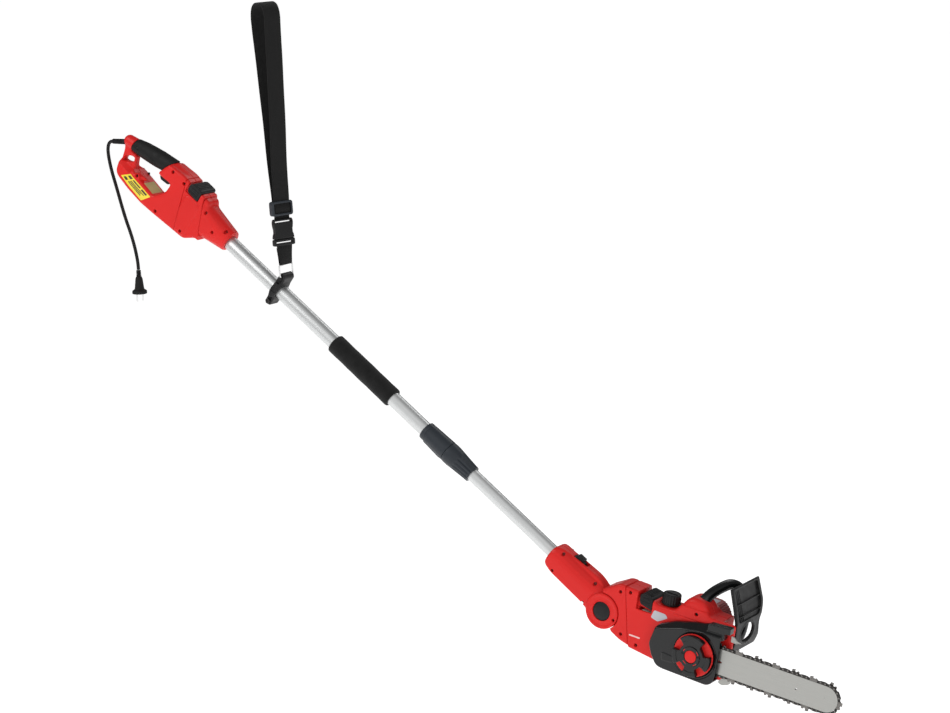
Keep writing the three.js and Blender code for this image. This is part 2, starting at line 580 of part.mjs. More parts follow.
function coverKnob() {
  const lobes = [0, 90, 180, 270].map((turn) => {
    const a = rad(turn + 3);
    const at = [KNOB.x + KNOB.reach * Math.cos(a), 0, KNOB.z + KNOB.reach * Math.sin(a)];
    return rod(KNOB.lobe, -66, -55.8, 'y', at, 14);
  });
  return cut(join(aboutKnob(KNOB.hub, -67, -55.8, 24), aboutKnob(14, -67, -52.6), ...lobes),
    aboutKnob(4.4, -64, -50, 12));
}

add(head, 'guide_bar', guideBar(), STEEL);
add(head, 'saw_chain', chain(), DARK_STEEL);
add(head, 'nose_sprocket', gearBlank(
  NOSE_TEETH, 15, 19.5, BAR.y - 0.6, BAR.y + 0.6, { x: BAR.nose, z: BAR.z }), STEEL);
add(head, 'bar_stud', aboutKnob(4, -62, -24.6, 12), STEEL);
add(head, 'side_cover', sideCover(), BLACK);
add(head, 'tension_ring', cut(
  aboutKnob(KNOB.ring, -55.4, -52.3, 36), aboutKnob(14.4, -60, -40, 24)), RED);
add(head, 'cover_knob', coverKnob(), BLACK);

function spikeBumper() {
  return slab(outline([[276.4, 29], [276.4, 42.3], [283, 40], [301, 32], [283, 30]]), -31.4, -28.4);
}

add(head, 'spike_bumper', spikeBumper(), STEEL);
add(head, 'chain_catcher', slab(outline([
  [262.2, -54.3], [276.3, -40.2], [286, -49], [284, -55], [270, -61], [262, -59],
]), -26, -20), STEEL);

// ---------------------------------------------------------------- front handle and hand guard
function handGuard() {
  const profile = outline([
    [268, -4], [275, 0], [279, 20], [278, 60], [271, 84], [256, 124], [251, 122], [265, 82], [272, 60],
    [273, 22], [268, 8],
  ]);
  const face = outline([
    [-18, 130], [92, 130], [94, 78], [76, 46], [82, 10], [60, -22], [-10, -22], [-18, 10],
  ], 8);
  const oval = new THREE.Path();
  oval.absellipse(30, 34, 27, 19, 0, 2 * Math.PI, false);
  face.holes.push(oval);
  const g = new THREE.ExtrudeGeometry(face, { depth: 60, bevelEnabled: false, curveSegments: 3 });
  const front = solid(g.rotateX(Math.PI / 2).rotateZ(Math.PI / 2).translate(240, 0, 0));
  const plate = slab(profile, -20, 100).intersect(front);
  const boss = rod(7, -18, 30, 'y', [GUARD_AXIS.x, 0, GUARD_AXIS.z], 14);
  return cut(join(plate, boss), rod(3.4, -30, 40, 'y', [GUARD_AXIS.x, 0, GUARD_AXIS.z], 12));
}

add(head, 'front_handle', swept(HANDLE_PATH, HANDLE_R, 14, 12), BLACK);
add(head, 'hand_guard', handGuard(), BLACK);
add(head, 'guard_pin', rod(3, -18.3, 30, 'y', [GUARD_AXIS.x, 0, GUARD_AXIS.z], 10), STEEL);

// ---------------------------------------------------------------- strap
const strap = new THREE.Group();
strap.position.copy(eyeInRow);
saw.add(strap);
const RING = { half: 21.8, rise: 24, wire: 1.6 };
const BUCKLE = { male: 62, female: 76, slit: 112, glide: 122, glideTop: 152 };
const STRAP_TURN = -20;           // the webbing's face is turned towards the saw's right side

function strapRing() {
  const { half, rise, wire } = RING;
  const at = [[0, -half, 0], [0, half, 0], [0, half, rise], [0, -half, rise]];
  return join(...at.map((p, i) => bar(p, at[(i + 1) % 4], wire, wire, 8)),
    ...at.map((p) => solid(new THREE.SphereGeometry(wire, 8, 6).translate(...p))));
}

// A flat piece of webbing whose face turns by the given angles from its lower to its upper end.
function webbing(z0, z1, thick, turn0, turn1, steps) {
  const g = new THREE.BoxGeometry(thick, WEBBING - 2, z1 - z0, 1, 1, steps).translate(0, 0, (z0 + z1) / 2);
  const place = g.attributes.position;
  for (let i = 0; i < place.count; i += 1) {
    const t = (place.getZ(i) - z0) / (z1 - z0);
    const p = new THREE.Vector3().fromBufferAttribute(place, i)
      .applyAxisAngle(new THREE.Vector3(0, 0, 1), rad(turn0 + (turn1 - turn0) * t));
    place.setXYZ(i, p.x, p.y, p.z);
  }
  return solid(g);
}

function lowerWebbing() {
  const wrap = tube(5, RING.wire + 0.5, -WEBBING / 2 + 1, WEBBING / 2 - 1, 'y', [0, 0, RING.rise], 12);
  return join(wrap, webbing(RING.rise + 4, BUCKLE.male - GAP, 3, 0, STRAP_TURN, 4));
}

function turnedStrap(shape) {
  return solid(geometryOf(shape).rotateZ(rad(STRAP_TURN)));
}

function buckleMale() {
  const { male, female } = BUCKLE;
  const tongue = box(-2.4, 2.4, -18, 18, female - 2, female + 20);
  return turnedStrap(join(box(-5, 5, -25, 25, male, female - GAP), tongue));
}

function buckleFemale() {
  const { female, slit } = BUCKLE;
  return turnedStrap(cut(box(-6, 6, -24, 24, female, slit + 4), box(-3, 3, -19, 19, female - 1, female + 22),
    box(-20, 20, -20, 20, slit - 3, slit)));
}

const LOOP = { foot: 124, shoulder: STRAP_DROP - 34, half: 25, thick: 2 };

function shoulderStrap() {
  const band = (inset) => {
    const [foot, shoulder, half] = [LOOP.foot, LOOP.shoulder, LOOP.half - inset];
    const top = STRAP_DROP - inset;
    const shape = new THREE.Shape();
    shape.moveTo(0, foot + inset * 2);
    shape.bezierCurveTo(3 - inset, foot + 60, 15 - inset, shoulder - 160, half, shoulder);
    shape.bezierCurveTo(half, top - 8, 14 - inset / 2, top, 0, top);
    shape.bezierCurveTo(-14 + inset / 2, top, -half, top - 8, -half, shoulder);
    shape.bezierCurveTo(-15 + inset, shoulder - 160, -3 + inset, foot + 60, 0, foot + inset * 2);
    return shape;
  };
  const ring = (y, shape) => slab(shape, -y, y, 0, 7);
  const loop = cut(ring(WEBBING / 2, band(0)), ring(WEBBING, band(LOOP.thick)));
  const tail = box(-1.6, 1.6, -18, 18, BUCKLE.slit + 4 + GAP, LOOP.foot + 24);
  return turnedStrap(join(loop, tail));
}

function triGlide() {
  const { glide, glideTop } = BUCKLE;
  const room = box(-4.6, 4.6, -21, 21, glide - 1, glideTop + 1);
  return turnedStrap(cut(box(-6.5, 6.5, -25, 25, glide, glideTop), room));
}

add(strap, 'strap_ring', strapRing(), STEEL);
add(strap, 'lower_webbing', lowerWebbing(), WEB);
add(strap, 'buckle_male', buckleMale(), BLACK);
add(strap, 'buckle_female', buckleFemale(), BLACK);
add(strap, 'tri_glide', triGlide(), BLACK);
add(strap, 'shoulder_strap', shoulderStrap(), WEB);

export default saw;
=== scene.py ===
"""Looks for the corded telescoping pole saw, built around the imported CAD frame.

Moulded pieces are written as distance fields in millimetres, in the frame of the part of the saw that they
belong to, and turned into smooth meshes. Turned, swept and flat pieces are meshed directly.
"""

import json
import math

import bmesh
import bpy
import numpy as np
from mathutils import Matrix, Vector


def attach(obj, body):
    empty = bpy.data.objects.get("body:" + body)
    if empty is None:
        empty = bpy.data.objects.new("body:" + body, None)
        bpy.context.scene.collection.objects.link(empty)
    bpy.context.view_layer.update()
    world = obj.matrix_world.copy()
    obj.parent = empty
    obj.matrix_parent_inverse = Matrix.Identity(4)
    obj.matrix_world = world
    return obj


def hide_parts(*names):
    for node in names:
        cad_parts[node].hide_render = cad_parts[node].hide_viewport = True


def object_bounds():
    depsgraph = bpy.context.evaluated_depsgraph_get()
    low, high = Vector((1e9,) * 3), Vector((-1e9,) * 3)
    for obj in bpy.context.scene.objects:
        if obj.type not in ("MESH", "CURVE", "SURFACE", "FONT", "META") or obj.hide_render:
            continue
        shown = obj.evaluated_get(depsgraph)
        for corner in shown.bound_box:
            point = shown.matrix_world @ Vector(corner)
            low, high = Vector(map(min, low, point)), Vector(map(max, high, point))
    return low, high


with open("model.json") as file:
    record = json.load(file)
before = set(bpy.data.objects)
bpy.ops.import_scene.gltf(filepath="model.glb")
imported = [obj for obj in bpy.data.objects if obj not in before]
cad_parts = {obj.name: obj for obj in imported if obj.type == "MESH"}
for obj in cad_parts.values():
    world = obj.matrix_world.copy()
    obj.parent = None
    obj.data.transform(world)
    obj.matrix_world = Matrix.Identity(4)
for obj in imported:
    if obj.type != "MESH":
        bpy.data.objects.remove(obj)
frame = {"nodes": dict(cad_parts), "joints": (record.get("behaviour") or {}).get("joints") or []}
CAD_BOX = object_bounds()

MM = 0.001
TAU = 2 * math.pi

# ---------------------------------------------------------------- sizes, in millimetres
LOCK_STATION = 653      # twist lock's rear face, along the pole from the rear socket's mouth
OUTER_R = 15
OUTER_BORE = 13.5
INNER_R = 13
INNER_BORE = 11.4
TUBE_REAR, TUBE_FRONT = -54, 672
FOAM_REAR, FOAM_FRONT = 325, 494
COLLAR_REAR, COLLAR_FRONT, TWIST_FRONT = 589, 653, 721
INNER_REAR, INNER_FRONT = 150, 1000
ADAPTER_MOUTH = 947
EYE = (157, 0, 35)
HANDLE_HALF = 24
KNUCKLE_R = 35
KNUCKLE_HALF = 30
TONGUE_HALF = 13.7
HOUSING_HALF = 28
SEAM_GAP = 0.3
SPROCKET = (176, -11)
BAR_Y = -40
BAR_Z = -11
BAR_HALF = 24.8
BAR_NOSE = 484          # centre of the bar's round nose
BAR_THICK = 4.4
KNOB = (216, -11)
MOTOR = (188, 28)
GUARD_AXIS = (262, 4)
STRAP_DROP = 548
STRAP_TURN = -20        # degrees that the webbing is turned from the ring
SIDES = ((-1, "right"), (1, "left"))


# ---------------------------------------------------------------- frames
def local_frame(origin, forward):
    """+X along forward, +Y across the saw, +Z square to both."""
    x = Vector(forward).normalized()
    y = Vector((0, 1, 0))
    z = x.cross(y)
    m = Matrix((x, y, z)).transposed().to_4x4()
    m.translation = origin
    return m


joints = {j["name"]: j for j in frame["joints"]}
pole_axis = Vector(joints["pole_extend"]["axis"])
lock_at = Vector(joints["pole_lock_twist"]["pos_m"])
TOOL = local_frame(lock_at - pole_axis * LOCK_STATION * MM, pole_axis)
bar_axis = Vector(joints["nose_sprocket_spin"]["pos_m"]) - Vector(joints["drive_gear_spin"]["pos_m"])
bar_axis.y = 0
HEAD = local_frame(Vector(joints["head_tilt"]["pos_m"]), bar_axis)
STRAP = Matrix.Translation((0, 0, -STRAP_DROP * MM)) @ Matrix.Rotation(math.radians(STRAP_TURN), 4, "Z")
RING = Matrix.Translation((0, 0, -STRAP_DROP * MM))


def add_object(name, data, at=None):
    obj = bpy.data.objects.new(name, data)
    bpy.context.scene.collection.objects.link(obj)
    if at is not None:
        obj.matrix_world = at
    return obj


# ---------------------------------------------------------------- camera, light and floor
CAMERA_TARGET = Vector((0.4362, 0, -0.7013))
CAMERA_AZIMUTH, CAMERA_ELEVATION, CAMERA_ROLL = 33, 9, -4.1
CAMERA_DISTANCE = 5.5
CAMERA_LENS = 107.75


def make_camera():
    az, el, roll = (math.radians(a) for a in (CAMERA_AZIMUTH, CAMERA_ELEVATION, CAMERA_ROLL))
    view = Vector((-math.sin(az) * math.cos(el), math.cos(az) * math.cos(el), -math.sin(el)))
    right = Vector((math.cos(az), math.sin(az), 0))
    up = right.cross(view)
    right, up = (right * math.cos(roll) + up * math.sin(roll), up * math.cos(roll) - right * math.sin(roll))
    data = bpy.data.cameras.new("camera")
    data.lens = CAMERA_LENS
    data.clip_end = 200
    turn = Matrix((right, up, -view)).transposed().to_4x4()
    at = Matrix.Translation(CAMERA_TARGET - view * CAMERA_DISTANCE) @ turn
    bpy.context.scene.camera = add_object("camera", data, at)


def area_light(name, at, target, size, power):
    data = bpy.data.lights.new(name, "AREA")
    data.shape = "RECTANGLE"
    data.size, data.size_y = size
    data.energy = power
    lamp = add_object(name, data)
    lamp.location = at
    lamp.rotation_euler = (Vector(target) - Vector(at)).to_track_quat("-Z", "Y").to_euler()


ROOM_FRONT = (0.5, -0.84, 0.12)     # the side of the room that is bright
ROOM_DARK, ROOM_BRIGHT = 0.2, 0.78
FLOOR_DROP = 0.12
FLOOR_REACH = 60
FLOOR_GLOW = 0.68       # keeps the far floor as white as the lit part round the saw


# name, place from the middle of the picture in metres, size in metres and power in watts
LIGHTS = (
    ("key", (-2.2, -2.6, 3.0), (2.2, 2.2), 62),
    ("fill", (3.2, -2.4, 1.0), (1.6, 2.6), 8),
    ("rim", (0.4, 3.0, 2.6), (3.0, 1.0), 22),
)


def make_world():
    """A room that is bright on the side behind the camera and darker on the other."""
    world = bpy.data.worlds.new("studio")
    world.use_nodes = True
    nodes, links = world.node_tree.nodes, world.node_tree.links
    coords = nodes.new("ShaderNodeTexCoord")
    facing = nodes.new("ShaderNodeVectorMath")
    facing.operation = "DOT_PRODUCT"
    facing.inputs[1].default_value = Vector(ROOM_FRONT).normalized()
    links.new(coords.outputs["Generated"], facing.inputs[0])
    links.new(link_ramp(nodes, links, facing.outputs["Value"], ROOM_DARK, ROOM_BRIGHT, (0.1, 0.75)),
              nodes["Background"].inputs["Color"])
    bpy.context.scene.world = world


def make_floor():
    low = float(CAD_BOX[0][2]) - FLOOR_DROP
    mesh = bpy.data.meshes.new("floor")
    r = FLOOR_REACH
    mesh.from_pydata([(-r, -r, low), (r, -r, low), (r, r, low), (-r, r, low)], [], [(0, 1, 2, 3)])
    floor = add_object("floor", mesh)
    floor.data.materials.append(floor_material())


def make_studio():
    make_world()
    bpy.context.scene.view_settings.view_transform = "Standard"
    for name, place, size, power in LIGHTS:
        area_light(name, CAMERA_TARGET + Vector(place), CAMERA_TARGET, size, power)
    make_floor()


# ---------------------------------------------------------------- materials
def shader(name):
    material = bpy.data.materials.new(name)
    material.use_nodes = True
    return material, material.node_tree.nodes, material.node_tree.links


def set_inputs(node, values):
    for name, value in values.items():
        node.inputs[name].default_value = value


def link_noise(nodes, links, scale, detail=3.0, stretch=(1, 1, 1), source="Object"):
    """A noise texture in the piece's own coordinates, with its cell size set by scale, per metre."""
    coords = nodes.new("ShaderNodeTexCoord")
    mapping = nodes.new("ShaderNodeMapping")
    mapping.inputs["Scale"].default_value = stretch
    noise = nodes.new("ShaderNodeTexNoise")
    noise.inputs["Scale"].default_value = scale
    noise.inputs["Detail"].default_value = detail
    links.new(coords.outputs[source], mapping.inputs["Vector"])
    links.new(mapping.outputs["Vector"], noise.inputs["Vector"])
    return noise.outputs["Fac"]


def link_ramp(nodes, links, fac, low, high, at=(0.3, 0.7)):
    """fac from at[0] to at[1] becomes a value or colour from low to high."""
    ramp = nodes.new("ShaderNodeValToRGB")
    for element, place, value in zip(ramp.color_ramp.elements, at, (low, high)):
        element.position = place
        element.color = (*value, 1) if hasattr(value, "__len__") else (value, value, value, 1)
    links.new(fac, ramp.inputs["Fac"])
    return ramp.outputs["Color"]


def link_bump(nodes, links, height, strength, distance, bsdf):
    bump = nodes.new("ShaderNodeBump")
    bump.inputs["Strength"].default_value = strength
    bump.inputs["Distance"].default_value = distance
    links.new(height, bump.inputs["Height"])
    links.new(bump.outputs["Normal"], bsdf.inputs["Normal"])


def moulded(name, color, roughness, grain, depth, variation=0.06, coat=0.0, specular=0.5):
    """Moulded plastic: slow colour drift, uneven gloss and a fine grain of that size in millimetres."""
    material, nodes, links = shader(name)
    bsdf = nodes["Principled BSDF"]
    drift = link_noise(nodes, links, 14, 2)
    dark = [c * (1 - variation) for c in color]
    light = [min(1, c * (1 + variation)) for c in color]
    links.new(link_ramp(nodes, links, drift, dark, light), bsdf.inputs["Base Color"])
    gloss = link_noise(nodes, links, 90, 4)
    links.new(link_ramp(nodes, links, gloss, roughness * 0.88, min(1, roughness * 1.14)),
              bsdf.inputs["Roughness"])
    set_inputs(bsdf, {"Specular IOR Level": specular, "Coat Weight": coat, "Coat Roughness": 0.12})
    fine = link_noise(nodes, links, 1 / (grain * MM), 2)
    link_bump(nodes, links, fine, 0.35, depth * MM, bsdf)
    return material


def metal(name, color, roughness, streak=(1, 1, 1), scale=400, depth=0.01, metallic=1.0, variation=0.08):
    """Metal with fine drawn or ground streaks; streak stretches the pattern along the piece's axes."""
    material, nodes, links = shader(name)
    bsdf = nodes["Principled BSDF"]
    bsdf.inputs["Metallic"].default_value = metallic
    lines = link_noise(nodes, links, scale, 5, streak)
    dark = [c * (1 - variation) for c in color]
    links.new(link_ramp(nodes, links, lines, dark, color, (0.35, 0.65)), bsdf.inputs["Base Color"])
    links.new(link_ramp(nodes, links, lines, roughness * 0.8, min(1, roughness * 1.25)),
              bsdf.inputs["Roughness"])
    link_bump(nodes, links, lines, 0.25, depth * MM, bsdf)
    return material


def foam_material():
    material, nodes, links = shader("foam")
    bsdf = nodes["Principled BSDF"]
    coords = nodes.new("ShaderNodeTexCoord")
    cells = nodes.new("ShaderNodeTexVoronoi")
    cells.inputs["Scale"].default_value = 700
    links.new(coords.outputs["Object"], cells.inputs["Vector"])
    drift = link_noise(nodes, links, 60, 5)
    links.new(link_ramp(nodes, links, drift, (0.004, 0.004, 0.004), (0.010, 0.010, 0.010)),
              bsdf.inputs["Base Color"])
    set_inputs(bsdf, {"Roughness": 0.85, "Specular IOR Level": 0.15,
                      "Sheen Weight": 0.08, "Sheen Roughness": 0.6})
    link_bump(nodes, links, cells.outputs["Distance"], 0.5, 0.5 * MM, bsdf)
    return material


WEAVE_PITCH = 1.6


def webbing_material():
    """Flat-woven webbing: ribs across the band, broken up by the lengthwise yarns."""
    material, nodes, links = shader("webbing")
    bsdf = nodes["Principled BSDF"]
    coords = nodes.new("ShaderNodeTexCoord")
    parts = []
    for direction, pitch in (("Z", WEAVE_PITCH), ("Y", WEAVE_PITCH * 0.8)):
        wave = nodes.new("ShaderNodeTexWave")
        wave.bands_direction = direction
        wave.inputs["Scale"].default_value = 0.314 / (pitch * MM)
        links.new(coords.outputs["Object"], wave.inputs["Vector"])
        parts.append(wave.outputs["Fac"])
    product = nodes.new("ShaderNodeMath")
    product.operation = "MULTIPLY"
    for part, socket in zip(parts, product.inputs):
        links.new(part, socket)
    weave = product.outputs["Value"]
    links.new(link_ramp(nodes, links, weave, (0.003, 0.003, 0.003), (0.012, 0.012, 0.012), (0, 1)),
              bsdf.inputs["Base Color"])
    set_inputs(bsdf, {"Roughness": 0.72, "Specular IOR Level": 0.2,
                      "Sheen Weight": 0.08, "Sheen Roughness": 0.5})
    link_bump(nodes, links, weave, 0.6, 0.35 * MM, bsdf)
    return material


def floor_material():
    material, nodes, links = shader("floor")
    bsdf = nodes["Principled BSDF"]
    tone = link_noise(nodes, links, 0.7, 2)
    links.new(link_ramp(nodes, links, tone, (0.9, 0.9, 0.9), (0.905, 0.905, 0.905)),
              bsdf.inputs["Base Color"])
    set_inputs(bsdf, {"Roughness": 0.9, "Specular IOR Level": 0.0, "Emission Color": (1, 1, 1, 1),
                      "Emission Strength": FLOOR_GLOW})
    return material


RED = moulded("red_plastic", (0.66, 0.016, 0.014), 0.36, 0.9, 0.02, 0.04, specular=0.22)
DARK_RED = moulded("dark_red_plastic", (0.30, 0.022, 0.022), 0.42, 0.9, 0.02, 0.06)
BLACK = moulded("black_plastic", (0.006, 0.006, 0.0065), 0.46, 0.7, 0.05, 0.15, specular=0.28)
SMOOTH_BLACK = moulded("smooth_black_plastic", (0.005, 0.0055, 0.006), 0.22, 1.5, 0.02, 0.15, specular=0.4)
GREY_BLACK = moulded("grey_black_plastic", (0.020, 0.025, 0.032), 0.4, 0.8, 0.04, 0.1, specular=0.35)
RUBBER = moulded("rubber", (0.007, 0.007, 0.007), 0.6, 0.6, 0.06, 0.15, specular=0.22)
NYLON = moulded("nylon", (0.72, 0.70, 0.62), 0.45, 0.9, 0.02)
SILVER = moulded("silver_badge", (0.46, 0.46, 0.50), 0.35, 0.5, 0.02, 0.05, coat=0.3)
YELLOW = moulded("yellow_label", (0.83, 0.66, 0.035), 0.42, 1.2, 0.01, 0.05, coat=0.3)
# the labels' yellow darkened: painted shade for the label on top of the lower bar, under the grip
SHADED_YELLOW = moulded("yellow_label_painted_shade", (0.48, 0.36, 0.10), 0.5, 1.2, 0.01, 0.05)
INK = moulded("label_print", (0.05, 0.045, 0.02), 0.5, 1.2, 0.01, 0.1)
PALE = moulded("pale_label", (0.80, 0.52, 0.50), 0.5, 1.2, 0.01, 0.05)
FOAM = foam_material()
WEBBING = webbing_material()
TUBE = metal("drawn_aluminium", (0.64, 0.65, 0.65), 0.42, (0.02, 1, 1), 900, 0.0015, 1.0, 0.03)
STEEL = metal("ground_steel", (0.40, 0.40, 0.38), 0.36, (0.03, 1, 1), 700, 0.008, 0.85)
BRIGHT = metal("bright_steel", (0.72, 0.72, 0.72), 0.25, (1, 1, 1), 500, 0.006)
DARK_STEEL = metal("blued_steel", (0.055, 0.052, 0.050), 0.34, (1, 1, 1), 500, 0.01, 0.9, 0.3)
CUTTER = metal("cutter_steel", (0.20, 0.19, 0.18), 0.3, (1, 1, 1), 500, 0.01, 0.9, 0.2)
COPPER = metal("motor_core", (0.42, 0.24, 0.14), 0.4, (1, 0.05, 1), 900, 0.05)


# ---------------------------------------------------------------- outlines
def rounded(corners, radius, steps=5):
    """A closed outline with each corner replaced by a short curve."""
    at = [np.array(p, float) for p in corners]
    radii = radius if hasattr(radius, "__len__") else [radius] * len(at)
    points = []
    for i, p in enumerate(at):
        before, after = at[i - 1], at[(i + 1) % len(at)]
        ends = []
        for other in (before, after):
            d = other - p
            length = np.hypot(*d)
            ends.append(p + d / length * min(radii[i], length / 2.1))
        for t in np.linspace(0, 1, steps):
            points.append((1 - t) ** 2 * ends[0] + 2 * t * (1 - t) * p + t * t * ends[1])
    return np.array(points)


def rectangle(low, high):
    return [(low[0], low[1]), (high[0], low[1]), (high[0], high[1]), (low[0], high[1])]


def arc(centre, radius, start, stop, steps):
    """Points on an arc, with the angles in degrees."""
    a = np.radians(np.linspace(start, stop, steps))
    return np.stack([centre[0] + radius * np.cos(a), centre[1] + radius * np.sin(a)], 1)


def polygon(points):
    """Signed distance to a closed outline, negative inside."""
    a = np.asarray(points, float)
    b = np.roll(a, -1, 0)
    e = b - a

    def distance(u, v):
        u, v = np.broadcast_arrays(u, v)
        best = np.full(u.shape, np.inf)
        inside = np.zeros(u.shape, bool)
        for (ax, az), (ex, ez), (_, bz) in zip(a, e, b):
            length2 = ex * ex + ez * ez
            if length2 < 1e-12:
                continue
            wx, wz = u - ax, v - az
            t = np.clip((wx * ex + wz * ez) / length2, 0, 1)
            best = np.minimum(best, (wx - t * ex) ** 2 + (wz - t * ez) ** 2)
            if az != bz:
                inside ^= ((az > v) != (bz > v)) & (u < ax + (v - az) * ex / ez)
        return np.sqrt(best) * np.where(inside, -1, 1)

    return distance


# ---------------------------------------------------------------- distance fields
def meet(a, b, edge):
    """Where both are inside, with the edge between them rounded."""
    a, b = a + edge, b + edge
    return np.minimum(np.maximum(a, b), 0) + np.hypot(np.maximum(a, 0), np.maximum(b, 0)) - edge


def slab(flat, half, edge, middle=0.0):
    """A side outline given thickness to half each way from middle; half may depend on x and z."""
    def field(x, y, z):
        width = half(x, z) if callable(half) else half
        return meet(flat(x, z), np.abs(y - middle) - width, edge)
    return field


def turned(profile, centre=(0, 0)):
    """A profile of (distance along X, radius) turned about an axis along X."""
    flat = polygon(profile)
    return lambda x, y, z: flat(x, np.hypot(y - centre[0], z - centre[1]))


def drum(axis, centre, radius, low, high, edge):
    """A cylinder along axis 0, 1 or 2; centre is its place on the other two axes."""
    def field(x, y, z):
        along = (x, y, z)[axis]
        u, v = [c for i, c in enumerate((x, y, z)) if i != axis]
        side = np.hypot(u - centre[0], v - centre[1]) - radius
        return meet(side, np.abs(along - (low + high) / 2) - (high - low) / 2, edge)
    return field


def limb(a, b, r0, r1):
    a, d = np.array(a, float), np.array(b, float) - np.array(a, float)

    def field(x, y, z):
        t = np.clip(((x - a[0]) * d[0] + (y - a[1]) * d[1] + (z - a[2]) * d[2]) / (d @ d), 0, 1)
        away = (x - a[0] - t * d[0]) ** 2 + (y - a[1] - t * d[1]) ** 2 + (z - a[2] - t * d[2]) ** 2
        return np.sqrt(away) - (r0 + (r1 - r0) * t)
    return field


def brick(low, high, edge=0.5):
    middle = [(a + b) / 2 for a, b in zip(low, high)]
    half = [(b - a) / 2 for a, b in zip(low, high)]

    def field(x, y, z):
        q = [np.abs(c - m) - h + edge for c, m, h in zip((x, y, z), middle, half)]
        outside = np.sqrt(sum(np.maximum(c, 0) ** 2 for c in q))
        return outside + np.minimum(np.maximum(np.maximum(q[0], q[1]), q[2]), 0) - edge
    return field


def half_space(point, normal):
    """Inside is behind the plane through point."""
    n = np.array(normal, float)
    n /= np.linalg.norm(n)
    return lambda x, y, z: (x - point[0]) * n[0] + (y - point[1]) * n[1] + (z - point[2]) * n[2]


def union(*fields):
    def field(x, y, z):
        best = fields[0](x, y, z)
        for f in fields[1:]:
            best = np.minimum(best, f(x, y, z))
        return best
    return field


def blend(k, *fields):
    """A union whose inner corners are filled to about k millimetres."""
    def field(x, y, z):
        best = fields[0](x, y, z)
        for f in fields[1:]:
            other = f(x, y, z)
            h = np.maximum(k - np.abs(best - other), 0) / k
            best = np.minimum(best, other) - h * h * k / 4
        return best
    return field


def cut(base, *tools, edge=0.0):
    def field(x, y, z):
        best = base(x, y, z)
        for f in tools:
            other = -f(x, y, z)
            best = meet(best, other, edge) if edge else np.maximum(best, other)
        return best
    return field


def both(*fields, edge=0.0):
    return cut(fields[0], *[(lambda x, y, z, f=f: -f(x, y, z)) for f in fields[1:]], edge=edge)


def on_side(side, near, far):
    """The ends, lower one first, of a span from near to far of the middle plane on one side of it."""
    return sorted((side * near, side * far))


def grown(field, amount):
    return lambda x, y, z: field(x, y, z) - amount


# ---------------------------------------------------------------- meshing
def corner_sums(crossing, points, axis, sums, counts):
    """Adds each crossed grid edge's point to the four cells round it."""
    others = [i for i in range(3) if i != axis]
    for first in (0, 1):
        for second in (0, 1):
            cell, edge = [slice(None)] * 3, [slice(None)] * 3
            for o, shift in zip(others, (first, second)):
                edge[o] = slice(1, None) if shift else slice(None, -1)
            edge, cell = tuple(edge), tuple(cell)
            counts[cell] += crossing[edge]
            sums[cell] += points[edge] * crossing[edge][..., None]


def surface_net(values, low, step):
    """Vertices and quads of the zero surface of a grid of values."""
    inside = values < 0
    shape = np.array(values.shape)
    sums = np.zeros((*(shape - 1), 3))
    counts = np.zeros(tuple(shape - 1))
    grid = np.stack(np.meshgrid(*[np.arange(n) for n in shape], indexing="ij"), -1).astype(float)
    crossings = []
    for axis in range(3):
        start, stop = [slice(None)] * 3, [slice(None)] * 3
        start[axis], stop[axis] = slice(None, -1), slice(1, None)
        start, stop = tuple(start), tuple(stop)
        crossing = inside[start] != inside[stop]
        a, b = values[start], values[stop]
        t = np.where(crossing, a / np.where(crossing, a - b, 1), 0)
        points = grid[start].copy()
        points[..., axis] += t
        corner_sums(crossing, points, axis, sums, counts)
        crossings.append((crossing, inside[start]))
    used = counts > 0
    index = np.full(used.shape, -1)
    index[used] = np.arange(used.sum())
    vertices = low + sums[used] / counts[used][:, None] * step
    quads = []
    for axis, (crossing, from_inside) in enumerate(crossings):
        one, two = [i for i in range(3) if i != axis]
        core = [slice(None)] * 3
        core[one] = core[two] = slice(1, -1)
        where = np.argwhere(crossing[tuple(core)])
        flip = from_inside[tuple(core)][tuple(where.T)]
        where[:, one] += 1
        where[:, two] += 1
        corners = []
        for d1, d2 in ((-1, -1), (0, -1), (0, 0), (-1, 0)):
            cell = where.copy()
            cell[:, one] += d1
            cell[:, two] += d2
            corners.append(index[tuple(cell.T)])
        quad = np.stack(corners, 1)
        if axis == 1:
            flip = ~flip
        quad[~flip] = quad[~flip][:, ::-1]
        quads.append(quad)
    return vertices, np.concatenate(quads)


def gradient(field, p, h):
    out = np.empty_like(p)
    for i in range(3):
        ahead, behind = p.copy(), p.copy()
        ahead[:, i] += h
        behind[:, i] -= h
        out[:, i] = field(*ahead.T) - field(*behind.T)
    return out / (2 * h)


def skin(name, field, low, high, step, at):
    """Meshes a distance field inside a box, then moves each vertex onto the true surface."""
    low, high = np.array(low, float) - 2 * step, np.array(high, float) + 2 * step
    axes = [np.arange(a, b + step, step) for a, b in zip(low, high)]
    x, y, z = np.meshgrid(*axes, indexing="ij", sparse=True)
    values = np.broadcast_to(field(x, y, z), [len(a) for a in axes]).astype(float)
    values = np.where(np.abs(values) < 1e-9, 1e-9, values)
    vertices, quads = surface_net(values, low, step)
    start = vertices.copy()
    for _ in range(3):
        slope = gradient(field, vertices, step * 0.2)
        size = np.maximum((slope ** 2).sum(1), 0.2)
        vertices = vertices - slope * (field(*vertices.T) / size)[:, None]
        vertices = start + np.clip(vertices - start, -0.7 * step, 0.7 * step)
    return solid_object(name, vertices, quads, at)


def solid_object(name, vertices, faces, at, sharp=40):
    """A smooth-shaded object from vertices in millimetres in the frame at."""
    mesh = bpy.data.meshes.new(name)
    mesh.from_pydata((np.asarray(vertices) * MM).tolist(), [], [[int(i) for i in f] for f in faces])
    mesh.validate()
    mesh.shade_smooth()
    mesh.set_sharp_from_angle(angle=math.radians(sharp))
    mesh.update()
    return add_object(name, mesh, at)


